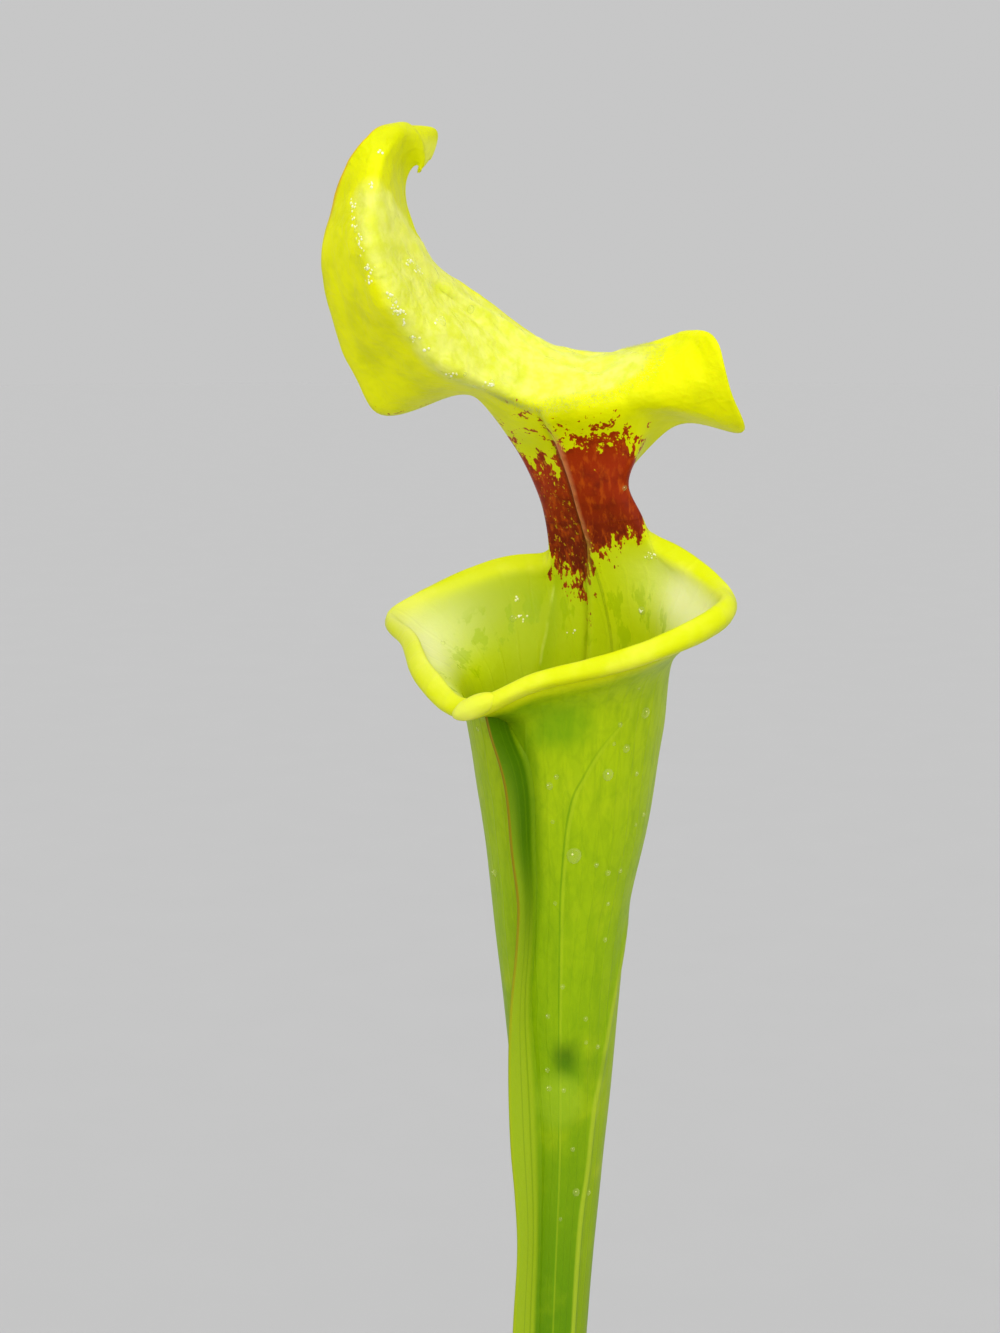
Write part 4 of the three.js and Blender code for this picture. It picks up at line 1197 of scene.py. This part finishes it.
def make_scale_leaves(material):
    shapes = []
    for i in range(SCALE_COUNT):
        size = 0.75 + 0.25 * cos(2.4 * i)
        shapes.append(scale_leaf((i + 0.2) * FULL_TURN / SCALE_COUNT, size))
    return new_piece("old_leaf_bases", *gathered(shapes), material)


def pot_material():
    n = Nodes("pot")
    dust = n.noise(22, 4).fade(0.45, 0.8)
    splash = n.noise(3, 4).fade(0.62, 0.68) * n.height().fade(60, 112)
    color = n.coats((44, 46, 46), (dust * 0.35, (74, 72, 66)), (splash * 0.5, (84, 70, 54)))
    return n.finish(color, dust * 0.18 + 0.42, n.noise(0.5, 3), 0.06)


def soil_material():
    n = Nodes("soil")
    color = n.coats((30, 20, 14), (n.noise(2.5, 5), (78, 56, 40)),
                    (n.noise(16, 3).fade(0.5, 0.7), (46, 34, 22)))
    return n.finish(color, 0.92, n.noise(0.8, 5), 0.6)


def crumb_material():
    n = Nodes("crumbs")
    tone = n.attribute("tone")
    color = n.coats((32, 22, 15), (tone.fade(0, 0.8), (92, 66, 44)), (tone.fade(0.86, 0.97), (128, 98, 62)),
                    (n.noise(0.6, 3).fade(0.4, 0.7), (54, 38, 26)))
    return n.finish(color, 0.9, n.noise(0.4, 4), 0.2)


def grit_material():
    n = Nodes("perlite")
    color = n.coats((214, 210, 200), (n.noise(0.8, 4).fade(0.35, 0.65), (238, 236, 230)),
                    (n.noise(1.6, 3).fade(0.6, 0.75), (150, 128, 100)))
    return n.finish(color, 0.85, n.noise(0.35, 4), 0.25)


def moss_material():
    n = Nodes("moss")
    color = n.coats((82, 110, 26), (n.noise(5, 3), (164, 178, 64)),
                    (n.height().fade(111, 107) * 0.5, (50, 62, 20)))
    return n.finish(color, 0.6, n.noise(0.3, 2), 0.05, Subsurface_Weight=0.2, Subsurface_Scale=0.5 * MM)


def bark_material():
    n = Nodes("rhizome")
    fibre = n.noise(0.8, 4, (1, 1, 0.12))
    return n.finish(n.mix(fibre.fade(0.3, 0.7), (58, 38, 24), (124, 88, 54)), 0.8, fibre, 0.4)


def sheath_material():
    n = Nodes("old_leaf_bases")
    fibre = n.noise(0.7, 4, (1, 1, 0.06))
    color = n.coats((112, 78, 46), (fibre.fade(0.3, 0.7), (178, 140, 90)),
                    (n.height().fade(118, 104), (126, 62, 48)))
    return n.finish(color, 0.62, fibre, 0.15, Subsurface_Weight=0.15, Subsurface_Scale=0.5 * MM)


# Water and hairs on the pitcher


def seen_at(leaf_tree, x, y):
    """Point of the pitcher that the camera sees at a pixel of the photograph, and its normal."""
    up = Vector((0, sin(CAMERA_TILT), cos(CAMERA_TILT)))
    ray = AHEAD + (Vector((1, 0, 0)) * (x - PHOTO_WIDTH / 2) - up * (y - PHOTO_HEIGHT / 2)) / PHOTO_FOCAL
    spot, normal, _, _ = leaf_tree.ray_cast(EYE, ray)
    return (spot, normal) if spot is None or normal.dot(ray) < 0 else (spot, -normal)


def drop_shape(spot, normal, width):
    """Bead of water that clings to a surface and hangs a little downwards."""
    rings, sides = DROP_GRID
    rise = normal * width * DROP_HEIGHT
    down = Vector((0, 0, -1))
    down = (down - normal * down.dot(normal)).normalized()
    side = normal.cross(down)
    points, faces = [spot + rise + down * width * 0.06], []
    for ring in range(1, rings + 1):
        turn = ring / rings * radians(100)
        for i in range(sides):
            angle = FULL_TURN * i / sides
            sag = 1 + 0.22 * max(0, cos(angle))
            out = down * cos(angle) * sag + side * sin(angle)
            points.append(spot + out * sin(turn) * width / 2 + rise * cos(turn))
    for i in range(sides):
        j = (i + 1) % sides
        faces.append((0, 1 + i, 1 + j))
        for low in range(1, 1 + (rings - 1) * sides, sides):
            faces.append((low + i, low + sides + i, low + sides + j, low + j))
    faces.append(tuple(1 + (rings - 1) * sides + i for i in range(sides - 1, -1, -1)))
    return points, faces


def make_drops(name, leaf_tree, spots, material):
    """Beads of water on the pitcher, from [x, y, width, lift off the surface] in photo pixels."""
    shapes = []
    for x, y, width, lift in spots:
        spot, normal = seen_at(leaf_tree, x, y)
        if spot is not None:
            shapes.append(drop_shape(spot + normal * lift * DROP_SCALE, normal, width * DROP_SCALE))
    return new_piece(name, *gathered(shapes), material)


def glint_spots():
    """A painted highlight on each of the larger drops, as a small bright bead, and the clusters of fine wet
    beads, coloured as painted glints.
    """
    spots = [[x - 0.14 * width, y - 0.2 * width, 0.14 * width, 0.37 * width]
             for x, y, width in DROPS if width > 4]
    for x, y, reach_across, reach_down, count in GLINT_BEAD_CLUSTERS:
        for _ in range(count):
            width = random.uniform(*GLINT_BEAD_WIDTHS)
            spots.append([random.gauss(x, reach_across / 2), random.gauss(y, reach_down / 2), width, 0])
    return spots


def water_material():
    n = Nodes("water")
    # pale and more opaque towards the rim: painted light on clear water
    rim = n.make("LayerWeight", "Facing", {"Blend": 0.4})
    return n.finish((240, 246, 140), 0.03, Alpha=rim * 0.35 + 0.1, IOR=1.4)


def glint_bead_material():
    """Fine water beads, coloured near white as painted glints."""
    n = Nodes("bead")
    color = n.mix(n.noise(0.6, 2).fade(0.4, 0.6), (252, 253, 222), (246, 249, 150))
    return n.finish(color, 0.05, IOR=1.33)


def make_hairs(leaf, material):
    """Down along the fold between the lid's crest and its right lobe."""
    mesh = leaf.data
    rows, across, inner = ([mark.value for mark in mesh.attributes[name].data]
                           for name in ("row", "across", "inner"))
    near = [i for i in range(len(mesh.vertices))
            if inner[i] == 1 and 3.2 < across[i] < 9.8 and abs(rows[i] - fold_row(across[i])) < 0.3]
    shapes = []
    for _ in range(HAIR_COUNT):
        vertex = mesh.vertices[random.choice(near)]
        jitter = Vector([random.gauss(0, 1) for _ in range(3)])
        root = vertex.co / MM + jitter.cross(vertex.normal) * 0.5
        way = (vertex.normal + jitter * 0.35 + Vector((0, 0, -0.5))).normalized()
        shapes.append(cone(root, root + way * random.uniform(*HAIR_LENGTHS), HAIR_WIDTH))
    return new_piece("lid_down", *gathered(shapes), material)


def hair_material():
    n = Nodes("down")
    return n.finish(n.mix(n.noise(3), (214, 222, 90), (236, 238, 150)), 0.5)


# Stage, lights and camera


def make_stage():
    n = Nodes("floor")
    turns = [FULL_TURN * i / FLOOR_SIDES for i in range(FLOOR_SIDES)]
    outline = [(FLOOR_RADIUS * cos(turn), FLOOR_RADIUS * sin(turn), 0) for turn in turns]
    material = n.finish((n.noise(60, 3) * 0.03 + 0.985) * FLOOR_SHADE, 0.9)
    floor = new_piece("floor", outline, [tuple(range(FLOOR_SIDES))], material)
    world = bpy.data.worlds.new("studio")
    world.use_nodes = True
    world.node_tree.nodes["Background"].inputs["Color"].default_value = [WORLD_SHADE] * 3 + [1]
    bpy.context.scene.world = world


def add_light(name, power, turn, rise, spread):
    """Soft distant light from a turn, in degrees from the front to the right, and a height angle."""
    light = bpy.data.lights.new(name, "SUN")
    light.energy = power
    light.angle = radians(spread)
    lamp = bpy.data.objects.new(name, light)
    bpy.context.collection.objects.link(lamp)
    lamp.rotation_euler = (radians(90 - rise), 0, radians(turn))


def make_camera():
    camera = bpy.data.cameras.new("camera")
    camera.sensor_width = SENSOR
    camera.lens = PHOTO_FOCAL / PHOTO_HEIGHT * SENSOR
    camera.clip_start = 0.01
    holder = bpy.data.objects.new("camera", camera)
    bpy.context.collection.objects.link(holder)
    holder.location = EYE * MM
    holder.rotation_euler = (radians(90) - CAMERA_TILT, 0, 0)
    bpy.context.scene.camera = holder


def tree_of(piece):
    """Search tree of a piece's faces, in millimetres."""
    points = [v.co / MM for v in piece.data.vertices]
    return BVHTree.FromPolygons(points, [tuple(f.vertices) for f in piece.data.polygons])


random.seed(SEED)
bpy.context.scene.view_settings.view_transform = "Standard"
make_camera()
make_stage()
for light in LIGHTS:
    add_light(*light)

leaf_finish = pitcher_material()
leaf = make_pitcher(leaf_finish)
keep(leaf, "pitcher", "pitcher")
keep(make_wing(leaf_finish), "pitcher", "pitcher")
keep(make_spout(leaf_finish), "pitcher", "pitcher")
leaf_tree = tree_of(leaf)
large_spots = [drop + [0] for drop in DROPS]
keep(make_drops("water_drops", leaf_tree, large_spots, water_material()), "pitcher")
# painted highlight beads on the larger drops and near-white beads as painted glints
keep(make_drops("glint_beads", leaf_tree, glint_spots(), glint_bead_material()), "pitcher")
keep(make_hairs(leaf, hair_material()), "pitcher")

keep(make_pot(pot_material()), "pot", "pot")
keep(make_soil(soil_material()), "soil", "soil")
keep(make_grains("peat_crumbs", crumb_material(), CRUMBS), "soil")
keep(make_grains("perlite", grit_material(), GRIT), "soil")
keep(make_moss(moss_material()), "soil")
keep(make_crown(bark_material()), "rhizome", "rhizome")
keep(make_scale_leaves(sheath_material()), "rhizome", "rhizome")
